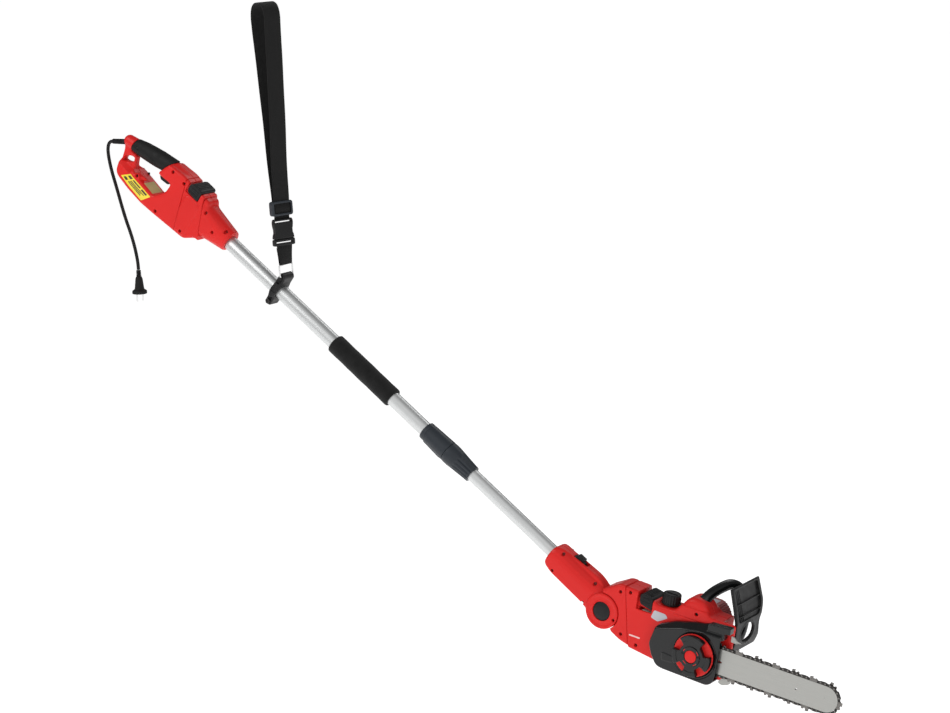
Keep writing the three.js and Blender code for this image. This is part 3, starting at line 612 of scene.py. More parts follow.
def ring_faces(rings, sides, closed=False, capped=True):
    """Quads between neighbouring rings of points, with a cap on each end if capped."""
    faces = []
    for i in range(rings if closed else rings - 1):
        here, there = i * sides, (i + 1) % rings * sides
        for j in range(sides):
            k = (j + 1) % sides
            faces.append((here + j, here + k, there + k, there + j))
    if capped:
        faces += [tuple(range(sides))[::-1], tuple((rings - 1) * sides + j for j in range(sides))]
    return faces


def prism_faces(n):
    """Faces between two outlines of n points each."""
    faces = [tuple(range(n))[::-1], tuple(range(n, 2 * n))]
    return faces + [(i, (i + 1) % n, n + (i + 1) % n, n + i) for i in range(n)]


def prism_points(outline, y0, y1):
    return [(x, y0, z) for x, z in outline] + [(x, y1, z) for x, z in outline]


def piece(obj, body, material, slot, *nodes):
    """Finishes a piece: its material, the body it rides on and the CAD nodes it stands for."""
    obj.data.materials.append(material)
    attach(obj, body)
    if nodes:
        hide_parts(*nodes)
    return obj


def revolve(name, profile, at, sides=48, axis="X", centre=(0, 0, 0), ripple=None):
    """A profile of (distance, radius) turned about an axis; ripple(angle, distance, radius) reshapes it."""
    angles = np.arange(sides) * TAU / sides
    rings = []
    for d, r in profile:
        rr = np.array([ripple(a, d, r) if ripple else r for a in angles])
        u, v = rr * np.cos(angles), rr * np.sin(angles)
        along = np.full(sides, float(d))
        order = {"X": (along, u, v), "Y": (v, along, u), "Z": (u, v, along)}[axis]
        rings.append(np.stack(order, 1) + np.array(centre, float))
    solid = not np.allclose(profile[0], profile[-1])
    obj = solid_object(name, np.concatenate(rings), ring_faces(len(profile), sides, capped=solid), at, 35)
    weld(obj)
    return obj


def weld(obj, distance=1e-6):
    bm = bmesh.new()
    bm.from_mesh(obj.data)
    bmesh.ops.remove_doubles(bm, verts=bm.verts, dist=distance)
    bmesh.ops.recalc_face_normals(bm, faces=bm.faces)
    bm.to_mesh(obj.data)
    bm.free()


def fillet_profile(outer, inner, low, high, edge, steps=4):
    """A tube's section with rounded outer edges and a plain bore."""
    points = [(low, inner), (low, outer - edge)]
    points += [(low + edge * (1 - math.cos(a)), outer - edge * (1 - math.sin(a)))
               for a in np.linspace(0, math.pi / 2, steps)[1:]]
    points += [(high - edge * (1 - math.sin(a)), outer - edge * (1 - math.cos(a)))
               for a in np.linspace(0, math.pi / 2, steps)]
    points += [(high, inner), (low, inner)]
    return points


def smooth_path(points, count):
    """Points evenly spaced along a Catmull-Rom curve."""
    p = np.array(points, float)
    p = np.vstack([2 * p[0] - p[1], p, 2 * p[-1] - p[-2]])
    fine = []
    for i in range(1, len(p) - 2):
        for t in np.linspace(0, 1, 24, endpoint=False):
            a, b, c, d = p[i - 1], p[i], p[i + 1], p[i + 2]
            fine.append(0.5 * (2 * b + (c - a) * t + (2 * a - 5 * b + 4 * c - d) * t * t
                               + (3 * b - a - 3 * c + d) * t ** 3))
    fine.append(p[-2])
    fine = np.array(fine)
    length = np.concatenate([[0], np.cumsum(np.linalg.norm(np.diff(fine, axis=0), axis=1))])
    want = np.linspace(0, length[-1], count)
    return np.stack([np.interp(want, length, fine[:, i]) for i in range(3)], 1)


def sweep(name, path, section, at, closed=False, up=(0, 0, 1), sharp=40):
    """A section of (side, up) points carried along a path without twisting."""
    n = len(path)
    tangents = np.gradient(path, axis=0)
    if closed:
        tangents = np.roll(path, -1, 0) - np.roll(path, 1, 0)
    tangents /= np.linalg.norm(tangents, axis=1)[:, None]
    side = np.cross(tangents[0], np.array(up, float))
    rings = []
    for i in range(n):
        side = side - tangents[i] * (side @ tangents[i])
        side /= np.linalg.norm(side)
        rise = np.cross(side, tangents[i])
        pts = section(i / (n - 1)) if callable(section) else section
        rings.append(path[i] + np.outer(pts[:, 0], side) + np.outer(pts[:, 1], rise))
    faces = ring_faces(n, len(rings[0]), closed, not closed)
    obj = solid_object(name, np.concatenate(rings), faces, at, sharp)
    weld(obj)
    return obj


def circle(radius, sides=24):
    a = np.arange(sides) * TAU / sides
    return np.stack([radius * np.cos(a), radius * np.sin(a)], 1)


# ---------------------------------------------------------------- screws
SCREW_R = 2.9
SCREW_HEAD = 2.4            # how deep a head is
CROSS_DEPTH = 1.3
CROSS_REACH, CROSS_WIDTH = 0.62, 0.15      # half length and half width of the cross, as shares of the radius
PIT_R = 3.3


def screw(name, place, side, radius, frame_at, body):
    """A cross-head screw sunk in its counterbore, facing -Y or +Y."""
    x, y, z = place
    low, high = sorted((y, y - side * SCREW_HEAD))
    head = drum(1, (x, z), radius, low, high, 0.5)
    cross_low, cross_high = sorted((y, y - side * CROSS_DEPTH))
    long, narrow = radius * CROSS_REACH, radius * CROSS_WIDTH
    arms = [grown(brick((x - a, cross_low, z - b), (x + a, cross_high + 0.01, z + b), 0.1), 0.05)
            for a, b in ((long, narrow), (narrow, long))]
    corners = (x - radius, low, z - radius), (x + radius, high, z + radius)
    obj = skin(name, cut(head, *arms), *corners, 0.45, frame_at)
    return piece(obj, body, DARK_STEEL, "steel")


def screw_pits(places, half, radius=3.6, depth=7):
    """Round counterbores from both sides at (x, z) places."""
    return [drum(1, place, radius, *on_side(side, half - depth, half + 9), 0.3)
            for place in places for side in (-1, 1)]


def add_screws(prefix, places, half, frame_at, body, depth=5.5):
    for i, (x, z) in enumerate(places):
        for side, word in SIDES:
            place = (x, side * (half - depth), z)
            screw(f"{prefix}_screw_{word}_{i + 1}", place, side, SCREW_R, frame_at, body)


def halves(name, field, low, high, step, at, body, material, slot, nodes):
    """The two halves of a moulding split at y = 0, each standing for one CAD node."""
    for side, word in SIDES:
        half = both(field, half_space((0, side * SEAM_GAP / 2, 0), (0, -side, 0)), edge=0.5)
        lo, hi = list(low), list(high)
        (hi if side < 0 else lo)[1] = 0
        obj = skin(f"{name}_{word}_skin", half, lo, hi, step, at)
        piece(obj, body, material, slot, *[f"{n}_{word}" for n in nodes])


# ---------------------------------------------------------------- mains lead
# The lead's route in the tool's frame, [x, z] in metres, from its relief to its plug.
CORD_ROUTE = [
    (-0.3428, -0.0196), (-0.346, -0.0235), (-0.3475, -0.0295), (-0.345, -0.038), (-0.338, -0.048),
    (-0.325, -0.061), (-0.308, -0.075), (-0.290, -0.088), (-0.268, -0.104), (-0.247, -0.1195),
    (-0.223, -0.136), (-0.200, -0.1505), (-0.181, -0.164), (-0.164, -0.178), (-0.151, -0.1905),
    (-0.1415, -0.2015),
]
CORD_DIAMETER = 0.007
PLUG_ROOT = (-141.2, -202)
PLUG_TILT = math.atan2(-33, 25)
PIN_Y = 9.5
PLUG_PROFILE = [(0.5, 0), (0.5, 5), (14, 5.6), (17.5, 7.4), (40, 10), (43.5, 15.5), (50, 15.5), (50, 0)]
PIN_PROFILE = [(45, 0), (45, 2.1), (64.6, 2.1), (65.6, 1.6), (66, 0.8), (66, 0)]
RELIEF_ROOT, RELIEF_TIP = (-300.5, 12.6), (-342, -19)


def plug_frame():
    turn = Matrix.Rotation(-PLUG_TILT, 4, "Y")
    return TOOL @ Matrix.Translation((PLUG_ROOT[0] * MM, 0, PLUG_ROOT[1] * MM)) @ turn


def make_plug():
    at = plug_frame()
    neck = turned(rounded(PLUG_PROFILE, 1.6))
    ribs = [turned([(d, 3.6), (d, 8), (d + 1.4, 8), (d + 1.4, 4.6)]) for d in (3, 6, 9, 12)]
    flats = [brick((20, s * 10 - 2, -5), (38, s * 10 + 2, 5), 1.5) for s in (-1, 1)]
    body = cut(neck, *ribs, *flats, edge=0.4)
    plug = piece(skin("plug_moulding", body, (0, -16, -16), (50, 16, 16), 0.9, at), "rear_pole", RUBBER,
                 "rubber", "plug_body")
    pins = []
    for i, y in enumerate((-PIN_Y, PIN_Y)):
        pin = revolve(f"plug_blade_{i + 1}", PIN_PROFILE, at, 20, centre=(0, y, 0))
        pins.append(piece(pin, "rear_pole", BRIGHT, "pin_steel", f"plug_pin_{i + 1}"))
    return [plug, *pins]


def make_cord():
    data = bpy.data.curves.new("mains_lead", "CURVE")
    data.dimensions = "3D"
    data.bevel_depth = CORD_DIAMETER / 2
    data.bevel_resolution = 5
    data.resolution_u = 8
    data.use_fill_caps = True
    spline = data.splines.new("BEZIER")
    spline.bezier_points.add(len(CORD_ROUTE) - 1)
    for point, (x, z) in zip(spline.bezier_points, CORD_ROUTE):
        point.co = TOOL @ Vector((x, 0, z))
        point.handle_left_type = point.handle_right_type = "AUTO"
    cord = add_object("mains_lead", data)
    piece(cord, "rear_pole", RUBBER, "rubber", "power_cord")
    make_plug()


def make_relief():
    (x0, z0), (x1, z1) = RELIEF_ROOT, RELIEF_TIP
    length = math.dist(RELIEF_ROOT, RELIEF_TIP)
    turn = Matrix.Rotation(math.atan2(-(z1 - z0), x1 - x0), 4, "Y")
    at = TOOL @ Matrix.Translation((x0 * MM, 0, z0 * MM)) @ turn
    sleeve = turned(rounded([(0, 0), (0, 6), (length - 1, 5.3), (length, 4.4), (length, 0)], 0.8))
    rings = [turned([(d, 4.6), (d, 9), (d + 1.6, 9), (d + 1.6, 4.6)]) for d in np.arange(24, length - 3, 3.6)]
    field = cut(sleeve, *rings)
    obj = skin("lead_relief", field, (0, -6.5, -6.5), (length, 6.5, 6.5), 0.7, at)
    piece(obj, "rear_pole", RUBBER, "rubber", "cord_relief")


# ---------------------------------------------------------------- rear handle
HANDLE_LOOP = [
    (-40, 49), (-114, 48.5), (-146, 51.5), (-164, 49.5), (-187, 48), (-202, 15.5), (-196, 12), (-163, 15),
    (-165, -8), (-186, -34.5), (-247, -26.5), (-261, -24), (-267, -12), (-271, 0), (-292, -1), (-294, 12),
    (-302, 23), (-318, 12), (-314, 3), (-307, -6), (-304, -17), (-299, -38), (-297, -49), (-292, -57.5),
    (-283, -61.5), (-203, -68), (-167, -66), (-78, -59), (-54, -38), (-30, -38),
]
POST_HOLE = [(-296.5, -31), (-296, -19), (-284, -9), (-274.5, -6), (-271, -14), (-276.5, -22)]
STRUT_HALF = 8.5
GRIP_REAR, GRIP_FRONT = (-293, 0, 13), (-180, 0, 38)
GRIP_CORE_R = 9
GRIP_SWELL = ((-296, 14.2), (-268, 17.9), (-248, 18.9), (-226, 19.5), (-200, 18.5), (-174, 17.5))
GRIP_FLAT = 0.88
LATCH_REAR, LATCH_FRONT, LATCH_HALF, LATCH_TOP = -122, -89, 25, 52
GRIP_SCREW, GRIP_SCREW_Y = (-276, 17), 15
HANDLE_SCREWS = [(-171, 41), (-136, 39), (-240.5, -26), (-162.5, -56), (-90, -49)]
# (x, z) of each screw pair on the socket, with the half width of the socket there and the pit's depth
SOCKET_SCREWS = [((-59.6, 24), HANDLE_HALF, 5.5), ((-25, 1.7), 24, 5.5), ((-2, 20), 15, 4)]


def socket_seam_x(z):
    return -61.3 - 0.413 * z


def front_seam_x(z):
    """The seam ahead of the rear loop, leaning like the socket's."""
    return -121 - 0.29 * z


def grip_z(x):
    (gx, _, gz), (hx, _, hz) = GRIP_REAR, GRIP_FRONT
    return gz + (x - gx) * (hz - gz) / (hx - gx)


def along_grip(x0, x1, radius):
    return limb((x0, 0, grip_z(x0)), (x1, 0, grip_z(x1)), radius, radius)


def grip_swell(x, y, z):
    radius = np.interp(x, *zip(*GRIP_SWELL))
    return (np.hypot(y / GRIP_FLAT, z - grip_z(x)) - radius) * GRIP_FLAT


def behind(seam, offset=0.0):
    return lambda x, y, z: (x - seam(z) - offset) * 0.93


def ahead(seam, offset=0.0):
    return lambda x, y, z: (seam(z) + offset - x) * 0.93


def handle_half(x, z):
    """The loop narrows towards its rear, and its rear strut is thinner still."""
    taper = np.clip(12.5 + 11 * (x + 330) / 80, 12.5, HANDLE_HALF)
    on_strut = np.clip((z + 36) / 9, 0, 1) * np.clip((-257 - x) / 7, 0, 1)
    return taper + (STRUT_HALF - taper) * on_strut


GRIP_LEAN = (0.905, 0, -0.425)      # square to the sleeve's front face
GRIP_SEAM = half_space((-193, 0, 33), [-c for c in GRIP_LEAN])
HALF_GAP = 0.35                     # each moulding stands this far back from a seam


def handle_body(grow=0.0):
    loop = slab(polygon(rounded(HANDLE_LOOP, 7)), lambda x, z: handle_half(x, z) + grow, 6)
    core = along_grip(-300, -178, GRIP_CORE_R)
    heel = both(limb((-307, 0, 11), (-291, 0, 13.6), 12 + grow, 13.4 + grow),
                half_space((-290.8, 0, 0), (1, 0, 0)), edge=0.8)
    hole = slab(polygon(rounded(POST_HOLE, 3)), 60, 1)
    boss = drum(1, (-240, -28), 7.5, -22.5, -6, 1.5)
    hook = limb((-238, -14, -26), (-224, -12, -24), 5.5, 3.2)
    shoulder = both(limb((-192, 0, 36), (-150, 0, 38), 16, 13), GRIP_SEAM, edge=1)
    slot = brick((-210, -6.5, -10), (-166, 6.5, 34), 1)
    whole = blend(3, cut(loop, hole, edge=1.5), boss, hook, heel)
    whole = blend(5, whole, shoulder)
    return cut(union(whole, core), slot, edge=0.8)


def latch_room():
    return brick((LATCH_REAR - 3.5, -40, 29), (LATCH_FRONT + 0.6, 40, 80), 1)


def under_latch():
    return brick((LATCH_REAR - 9, -20, 0), (LATCH_FRONT + 2, 20, 46), 1.5)


def make_rear_shells():
    pits = screw_pits(HANDLE_SCREWS, HANDLE_HALF)
    open_top = cut(latch_room(), under_latch())
    body = handle_body()
    loop = cut(both(body, behind(front_seam_x, -HALF_GAP), edge=1.1), open_top, *pits, edge=0.6)
    scoop = brick((-118, -40, -52), (-78, 40, 24), 7)
    raised = blend(2, body, both(handle_body(1.3), scoop, edge=1))
    front = both(raised, ahead(front_seam_x, HALF_GAP), behind(socket_seam_x, -HALF_GAP), edge=1.1)
    front = cut(front, open_top, *pits, edge=0.6)
    halves("rear_loop", loop, (-318, -25, -69), (-100, 25, 53), 1.4, TOOL, "rear_pole", RED, "red_shell",
           ["rear_shell"])
    halves("rear_front_block", front, (-140, -27, -69), (-36, 27, 53), 1.4, TOOL, "rear_pole", RED,
           "red_shell", [])
    add_screws("handle", HANDLE_SCREWS, HANDLE_HALF, TOOL, "rear_pole")


def make_grip():
    front = half_space((-193.4, 0, 33), GRIP_LEAN)
    rear = half_space((-290.2, 0, 10), (-1, 0, 0.06))
    slot = brick((-212, -6.5, -10), (-164, 6.5, 30), 0.5)
    bore = union(along_grip(-310, -160, GRIP_CORE_R + SEAM_GAP), slot)
    shaped = both(grip_swell, front, rear, edge=1.6)
    line = [brick((-280, s * 19 - 3, 24), (-214, s * 19 + 3, 25.2), 0.2) for s in (-1, 1)]
    pits = screw_pits([GRIP_SCREW], GRIP_SCREW_Y, 3.2, 1.6)
    field = cut(shaped, grown(handle_body(), SEAM_GAP), bore, *line, *pits, edge=0.5)
    obj = skin("soft_grip", field, (-293, -20, -4), (-174, 20, 60), 1.2, TOOL)
    piece(obj, "rear_pole", RUBBER, "rubber", "handle_grip")
    x, z = GRIP_SCREW
    for side, word in SIDES:
        screw(f"grip_screw_{word}", (x, side * (GRIP_SCREW_Y - 0.8), z), side, 2.6, TOOL, "rear_pole")


def make_trigger():
    outline = rounded([(-202, 11), (-204, 3), (-198, -3), (-178, -1), (-170, 8), (-170, 22), (-190, 22)], 3)
    blade = slab(polygon(outline), 5.8, 1.8)
    grooves = [drum(1, (-204.5 + 1.5 * i, 8 - 4.2 * i), 0.8, -7, 7, 0.2) for i in range(3)]
    obj = skin("trigger_blade", cut(blade, *grooves), (-205, -6, -4), (-169, 6, 23), 0.8, TOOL)
    piece(obj, "trigger", BLACK, "black_plastic", "trigger")
    button = turned(rounded([(13, 0), (13, 6), (25.6, 6), (27, 4.6), (27, 0)], 0.6))

    def sideways(x, y, z):
        return button(y, x + 172, z - 32)

    obj = skin("lock_off_cap", sideways, (-179, 12, 25), (-165, 28, 39), 0.7, TOOL)
    piece(obj, "lock_off_button", BLACK, "black_plastic", "lock_off_button")


CATCH_RIBS = 5


def saddle(rear, front, floor, top, half, inner, under, slope=0.0):
    """A catch that wraps over the top of the body, with ribs across it and a ridge along its middle."""
    def at(x, z):
        return (x, z + slope * (x - rear))
    corners = [(rear, floor + 6), (rear + 3, floor), at(front, floor - 2), at(front, top - 1.5),
               (front - 4, at(front, top + 1)[1]), at(rear + 8, top + 1.5), (rear, top - 3)]
    shell = slab(polygon(rounded(corners, 3)), half, 2.6)
    pitch = (front - rear - 12) / CATCH_RIBS
    ribs = []
    for i in range(CATCH_RIBS):
        x, z = at(rear + 8 + pitch * i, top + 1.6)
        ribs.append(limb((x, -half + 5, z), (x, half - 5, z), 1.1, 1.1))
    ridge = []
    for i in range(4):
        z = floor + 2 + 4 * i
        for y in (-half, half):
            ridge.append(brick((rear + 5, y - 1, z), (front - 5, y + 1, z + 1.6), 0.6))
    below = polygon([(rear - 9, under), at(front + 9, under), (front + 9, -50), (rear - 9, -50)])
    room = slab(below, inner, 0.5)
    return cut(blend(0.8, shell, *ribs, *ridge), room, edge=0.4)


def make_rear_latch():
    field = saddle(LATCH_REAR, LATCH_FRONT, 31, LATCH_TOP + 0.5, LATCH_HALF, 20.5, LATCH_TOP - 5.5)
    obj = skin("rear_catch", field, (LATCH_REAR, -27, 28), (LATCH_FRONT, 27, LATCH_TOP + 4), 0.9, TOOL)
    piece(obj, "rear_latch", BLACK, "black_plastic", "rear_latch")


# ---------------------------------------------------------------- labels
LABEL_CELLS = 18
LABEL_THICK = 0.35
YELLOW_LABEL = [(-275, -52.5), (-203, -60.5), (-188, -39), (-255, -32.5)]
LABEL_PRINT = [      # low u, low v, high u, high v across the yellow label
    (0.06, 0.62, 0.20, 0.88), (0.26, 0.72, 0.60, 0.86), (0.26, 0.52, 0.88, 0.60), (0.26, 0.38, 0.80, 0.46),
    (0.26, 0.24, 0.84, 0.32), (0.06, 0.14, 0.20, 0.40), (0.66, 0.70, 0.90, 0.88),
]
LOWER_LABEL = ((-220, -17), (-190, 15))     # its corners in x and y, on top of the loop's lower bar


def plate_piece(name, outline, side_y, at, body, material, thick=LABEL_THICK):
    """A thin plate standing just proud of the side it lies on."""
    vertices = prism_points(outline, side_y, side_y - thick)
    obj = solid_object(name, vertices, prism_faces(len(outline)), at)
    weld(obj)
    return piece(obj, body, material, "nylon")


def thin_plate(name, corners, thick, at, body, material):
    """A flat plate on the four corners of its underside, raised along their normal."""
    p = [Vector(c) for c in corners]
    rise = (p[1] - p[0]).cross(p[3] - p[0]).normalized() * thick
    obj = solid_object(name, [tuple(c) for c in p] + [tuple(c + rise) for c in p], prism_faces(4), at)
    weld(obj)
    return piece(obj, body, material, "nylon")


def within(corners, u, v):
    """The point at shares u and v of the way across four corners."""
    a, b, c, d = (np.array(p, float) for p in corners)
    return (1 - v) * ((1 - u) * a + u * b) + v * ((1 - u) * d + u * c)


def side_label(name, corners, lift, material):
    """A label that follows the tapering right side of the rear handle; corners are (x, z)."""
    n = LABEL_CELLS
    shares = np.linspace(0, 1, n + 1)
    front, back = [], []
    for v in shares:
        for u in shares:
            x, z = within(corners, u, v)
            y = -float(handle_half(x, z))
            front.append((x, y - lift, z))
            back.append((x, y + 0.6, z))
    row = n + 1
    grid = [(i * row + j, i * row + j + 1, (i + 1) * row + j + 1, (i + 1) * row + j)
            for i in range(n) for j in range(n)]
    m = len(front)
    rim = [*range(n), *[i * row + n for i in range(n)], *[n * row + n - j for j in range(n)],
           *[(n - i) * row for i in range(n)]]
    faces = grid + [tuple(m + i for i in f[::-1]) for f in grid]
    faces += [(a, m + a, m + b, b) for a, b in zip(rim, rim[1:] + rim[:1])]
    obj = solid_object(name, front + back, faces, TOOL)
    weld(obj)
    return piece(obj, "rear_pole", material, "nylon")


def lower_bar_z(x):
    return -26.6 - (x + 247) * 8 / 61


def make_labels():
    side_label("yellow_label", YELLOW_LABEL, 0.3, YELLOW)
    for i, (u0, v0, u1, v1) in enumerate(LABEL_PRINT):
        corners = [within(YELLOW_LABEL, u, v) for u, v in rectangle((u0, v0), (u1, v1))]
        side_label(f"yellow_label_print_{i + 1}", corners, 0.5, INK)
    corners = [(x, y, lower_bar_z(x)) for x, y in rectangle(*LOWER_LABEL)]
    # this label is yellow like the side one; its darker yellow is painted shade from the grip above
    thin_plate("lower_bar_label", corners, LABEL_THICK, TOOL, "rear_pole", SHADED_YELLOW)


# ---------------------------------------------------------------- pole
def make_socket():
    cone = turned(rounded([(-95, 0), (-95, 37), (-60, 34.6), (7, 22), (10, 20), (10, 0)], 2.5))
    crown = both(limb((-80, 0, 3), (24, 0, 4.8), 36, 19.4), half_space((10, 0, 0), (1, 0, 0)), edge=2.5)
    cone = blend(3, cone, crown)
    flat = brick((-130, -HANDLE_HALF, -60), (20, HANDLE_HALF, 60), 5)
    hump = slab(polygon(rounded([(-88, 0), (-88, 45), (-68, 45), (-60, 31), (-50, 0)], 7)), 20, 6)
    skirt = polygon(rounded([(-92, -46), (-92, 43), (-72, 41), (-60, -42)], 12))
    collar = slab(skirt, HANDLE_HALF + 1.2, 9)
    whole = blend(4, both(cone, flat, edge=4), hump, collar)
    whole = both(whole, ahead(socket_seam_x, HALF_GAP), edge=1.1)
    bore = drum(0, (0, 0), OUTER_R + SEAM_GAP, -70, 30, 0.2)
    pits = []
    for place, half, depth in SOCKET_SCREWS:
        pits += screw_pits([place], half, 3.6, depth + 0.4)
    field = cut(whole, bore, *pits, edge=0.7)
    halves("socket", field, (-94, -26, -50), (11, 26, 48), 1.3, TOOL, "rear_pole", RED, "red_shell",
           ["pole_socket"])
    for number, (place, half, depth) in enumerate(SOCKET_SCREWS):
        add_screws(f"socket_{number + 1}", [place], half, TOOL, "rear_pole", depth)


def make_tubes():
    outer = revolve("rear_tube", fillet_profile(OUTER_R, OUTER_BORE, TUBE_REAR, TUBE_FRONT, 0.5), TOOL, 72)
    piece(outer, "rear_pole", TUBE, "pole_tube", "outer_tube")
    inner = revolve("front_tube", fillet_profile(INNER_R, INNER_BORE, INNER_REAR, INNER_FRONT, 0.5), TOOL, 72)
    piece(inner, "front_pole", TUBE, "pole_tube", "inner_tube")


FOAM_R = 20
FOAM_ROUND = 3          # radius of its rounded ends


def make_foam():
    length = FOAM_FRONT - FOAM_REAR
    r, shoulder = FOAM_ROUND, FOAM_R - FOAM_ROUND
    turns = np.linspace(0, math.pi / 2, 6)
    profile = [(FOAM_REAR, OUTER_R + SEAM_GAP)]
    profile += [(FOAM_REAR + r - r * math.cos(a), shoulder + r * math.sin(a)) for a in turns]
    profile += [(FOAM_REAR + length * t, FOAM_R + 0.25 * math.sin(t * 21) * math.sin(t * 8))
                for t in np.linspace(0.04, 0.96, 40)]
    profile += [(FOAM_FRONT - r + r * math.sin(a), shoulder + r * math.cos(a)) for a in turns]
    profile += [(FOAM_FRONT, OUTER_R + SEAM_GAP), (FOAM_REAR, OUTER_R + SEAM_GAP)]
    grip = piece(revolve("foam_sleeve", profile, TOOL, 64), "rear_pole", FOAM, "foam", "foam_grip")


CLAMP_BOLT = (157.5, -27)
CLAMP_REAR, CLAMP_FRONT, CLAMP_R = 150, 165, 22


def make_clamp():
    rear, front = CLAMP_REAR, CLAMP_FRONT
    x, z = CLAMP_BOLT
    bore = drum(0, (0, 0), OUTER_R + SEAM_GAP, rear - 10, front + 10, 0.2)
    upper = polygon(rounded([(rear, 12), (front, 12), (front, 36), (160, 41), (152, 41), (rear, 38)], 2.5))
    lower = polygon(rounded([(rear, -10), (rear, -32), (154, -37), (front, -34), (front, -10)], 2.5))
    ring = drum(0, (0, 0), CLAMP_R, rear, front, 2)
    rib = [brick((154, s * 19 - 4, -14), (161, s * 19 + 4, 20), 2) for s in (-1, 1)]
    eye = drum(1, (EYE[0], EYE[2]), 3.4, -30, 30, 0.2)
    waist = [drum(2, (x, s * 24), 8, 20, 34, 2) for s in (-1, 1)]
    above, below = (half_space((0, 0, s * SEAM_GAP / 2), (0, 0, -s)) for s in (1, -1))
    top = cut(both(blend(4, ring, slab(upper, 18, 3), *rib), above, edge=0.8), bore, eye, *waist, edge=0.6)
    low = both(blend(4, ring, slab(lower, 15, 3), *rib), below, edge=0.8)
    hole = drum(1, CLAMP_BOLT, 3.2, -30, 30, 0.1)
    low = cut(low, bore, hole, drum(1, CLAMP_BOLT, 5.6, -30, -15.2, 0.2), edge=0.5)
    for name, field, bottom, crown, node in (("clamp_top", top, 0, 42, "strap_clamp_upper"),
                                             ("clamp_bottom", low, -38, 0, "strap_clamp_lower")):
        obj = skin(name, field, (rear - 1, -24, bottom), (front + 1, 24, crown), 0.9, TOOL)
        piece(obj, "rear_pole", BLACK, "black_plastic", node)
    cross = [brick((x - a, -21, z - b), (x + a, -18, z + b), 0.1) for a, b in ((3, 0.7), (0.7, 3))]
    head = cut(drum(1, CLAMP_BOLT, 4.8, -19.4, -15.6, 0.6), *cross)
    field = union(head, drum(1, CLAMP_BOLT, SCREW_R, -17, 16, 0.4))
    obj = skin("clamp_bolt", field, (x - 5.5, -20, z - 5.5), (x + 5.5, 17, z + 5.5), 0.6, TOOL)
    piece(obj, "rear_pole", DARK_STEEL, "steel", "clamp_screw")


TWIST_FLUTES = 14
FLUTE_REAR, FLUTE_FRONT = 680, 719
FLUTE_DEPTH = 1.9


def make_lock():
    rear = [(COLLAR_REAR, OUTER_R + 0.3), (COLLAR_REAR, 18.0), (COLLAR_REAR + 0.8, 18.8), (596, 19.3),
            (596.8, 18.7), (599, 18.7), (599.8, 19.5), (645, 21.3), (651, 21.6), (652.4, 21.2),
            (COLLAR_FRONT, 20.4), (COLLAR_FRONT, OUTER_R + 0.3), (COLLAR_REAR, OUTER_R + 0.3)]

    def tab(a, d, r):
        return r + 0.9 * (600 < d < 646) * (math.cos(a - math.radians(250)) > 0.92)
    obj = revolve("lock_sleeve", refined(rear, 3), TOOL, 96, ripple=tab)
    piece(obj, "rear_pole", GREY_BLACK, "grey_black_plastic", "lock_collar")
    front = COLLAR_FRONT + SEAM_GAP
    twist = [(front, 16.2), (front, 20.6), (front + 0.7, 21.4), (660, 21.8), (668, 21.6), (674, 21.0),
             (714, 17.6), (718, 17.6), (TWIST_FRONT - 0.8, 17.2), (TWIST_FRONT, 16.2), (TWIST_FRONT, 13.3),
             (711, 13.3), (711, 16.2), (front, 16.2)]

    def flute(a, d, r):
        if r < 16.5 or not FLUTE_REAR < d < FLUTE_FRONT:
            return r
        wave = 0.5 + 0.5 * math.cos(a * TWIST_FLUTES)
        fade = min(1, (d - FLUTE_REAR) / 6)
        return r - FLUTE_DEPTH * fade * (1 - wave ** 0.6)
    obj = revolve("twist_sleeve", refined(twist, 2), TOOL, 168, ripple=flute)
    piece(obj, "twist_lock", GREY_BLACK, "grey_black_plastic", "twist_collar")


def refined(profile, spacing):
    """The same profile with points added so that none is further apart than spacing."""
    out = [profile[0]]
    for (d0, r0), (d1, r1) in zip(profile, profile[1:]):
        steps = max(1, round(math.dist((d0, r0), (d1, r1)) / spacing))
        out += [(d0 + (d1 - d0) * i / steps, r0 + (r1 - r0) * i / steps) for i in range(1, steps + 1)]
    return out


# ---------------------------------------------------------------- pole adapter and knuckle
PIVOT = (1100, -4)
ADAPTER_SIDE = [
    (ADAPTER_MOUTH, -18), (ADAPTER_MOUTH, 21), (958, 27), (977, 29), (1007, 32), (1048, 34.5), (1064, 32),
    (1082, 24), (1092, -10), (1076, -27), (1056, -23.5), (975, -22.5),
]
ADAPTER_FLARE = [(930, 0), (ADAPTER_MOUTH, 25), (950, 28), (956, 31.5), (970, 36), (1010, 46), (1150, 60),
                 (1150, 0)]
ADAPTER_SECTION = ((4, 27), (12, 26), (19, 23), (24.5, 17.5), (28, 12.5), (40, 11))   # height, half width
ADAPTER_SCREWS = [(973, -16.5), (1058, -21)]
SHOULDER_SCREWS = [(970.5, 23), (1055.5, 23.5)]
CHEEK_SCREW = (1129, -1)
SLIDER_X, SLIDER_HALF = 1000, 6.5


def about_pivot(radius, low, high, edge=0.5):
    return drum(1, PIVOT, radius, low, high, edge)


def adapter_half(x, z):
    return np.interp(z, *zip(*ADAPTER_SECTION)) + 0 * x


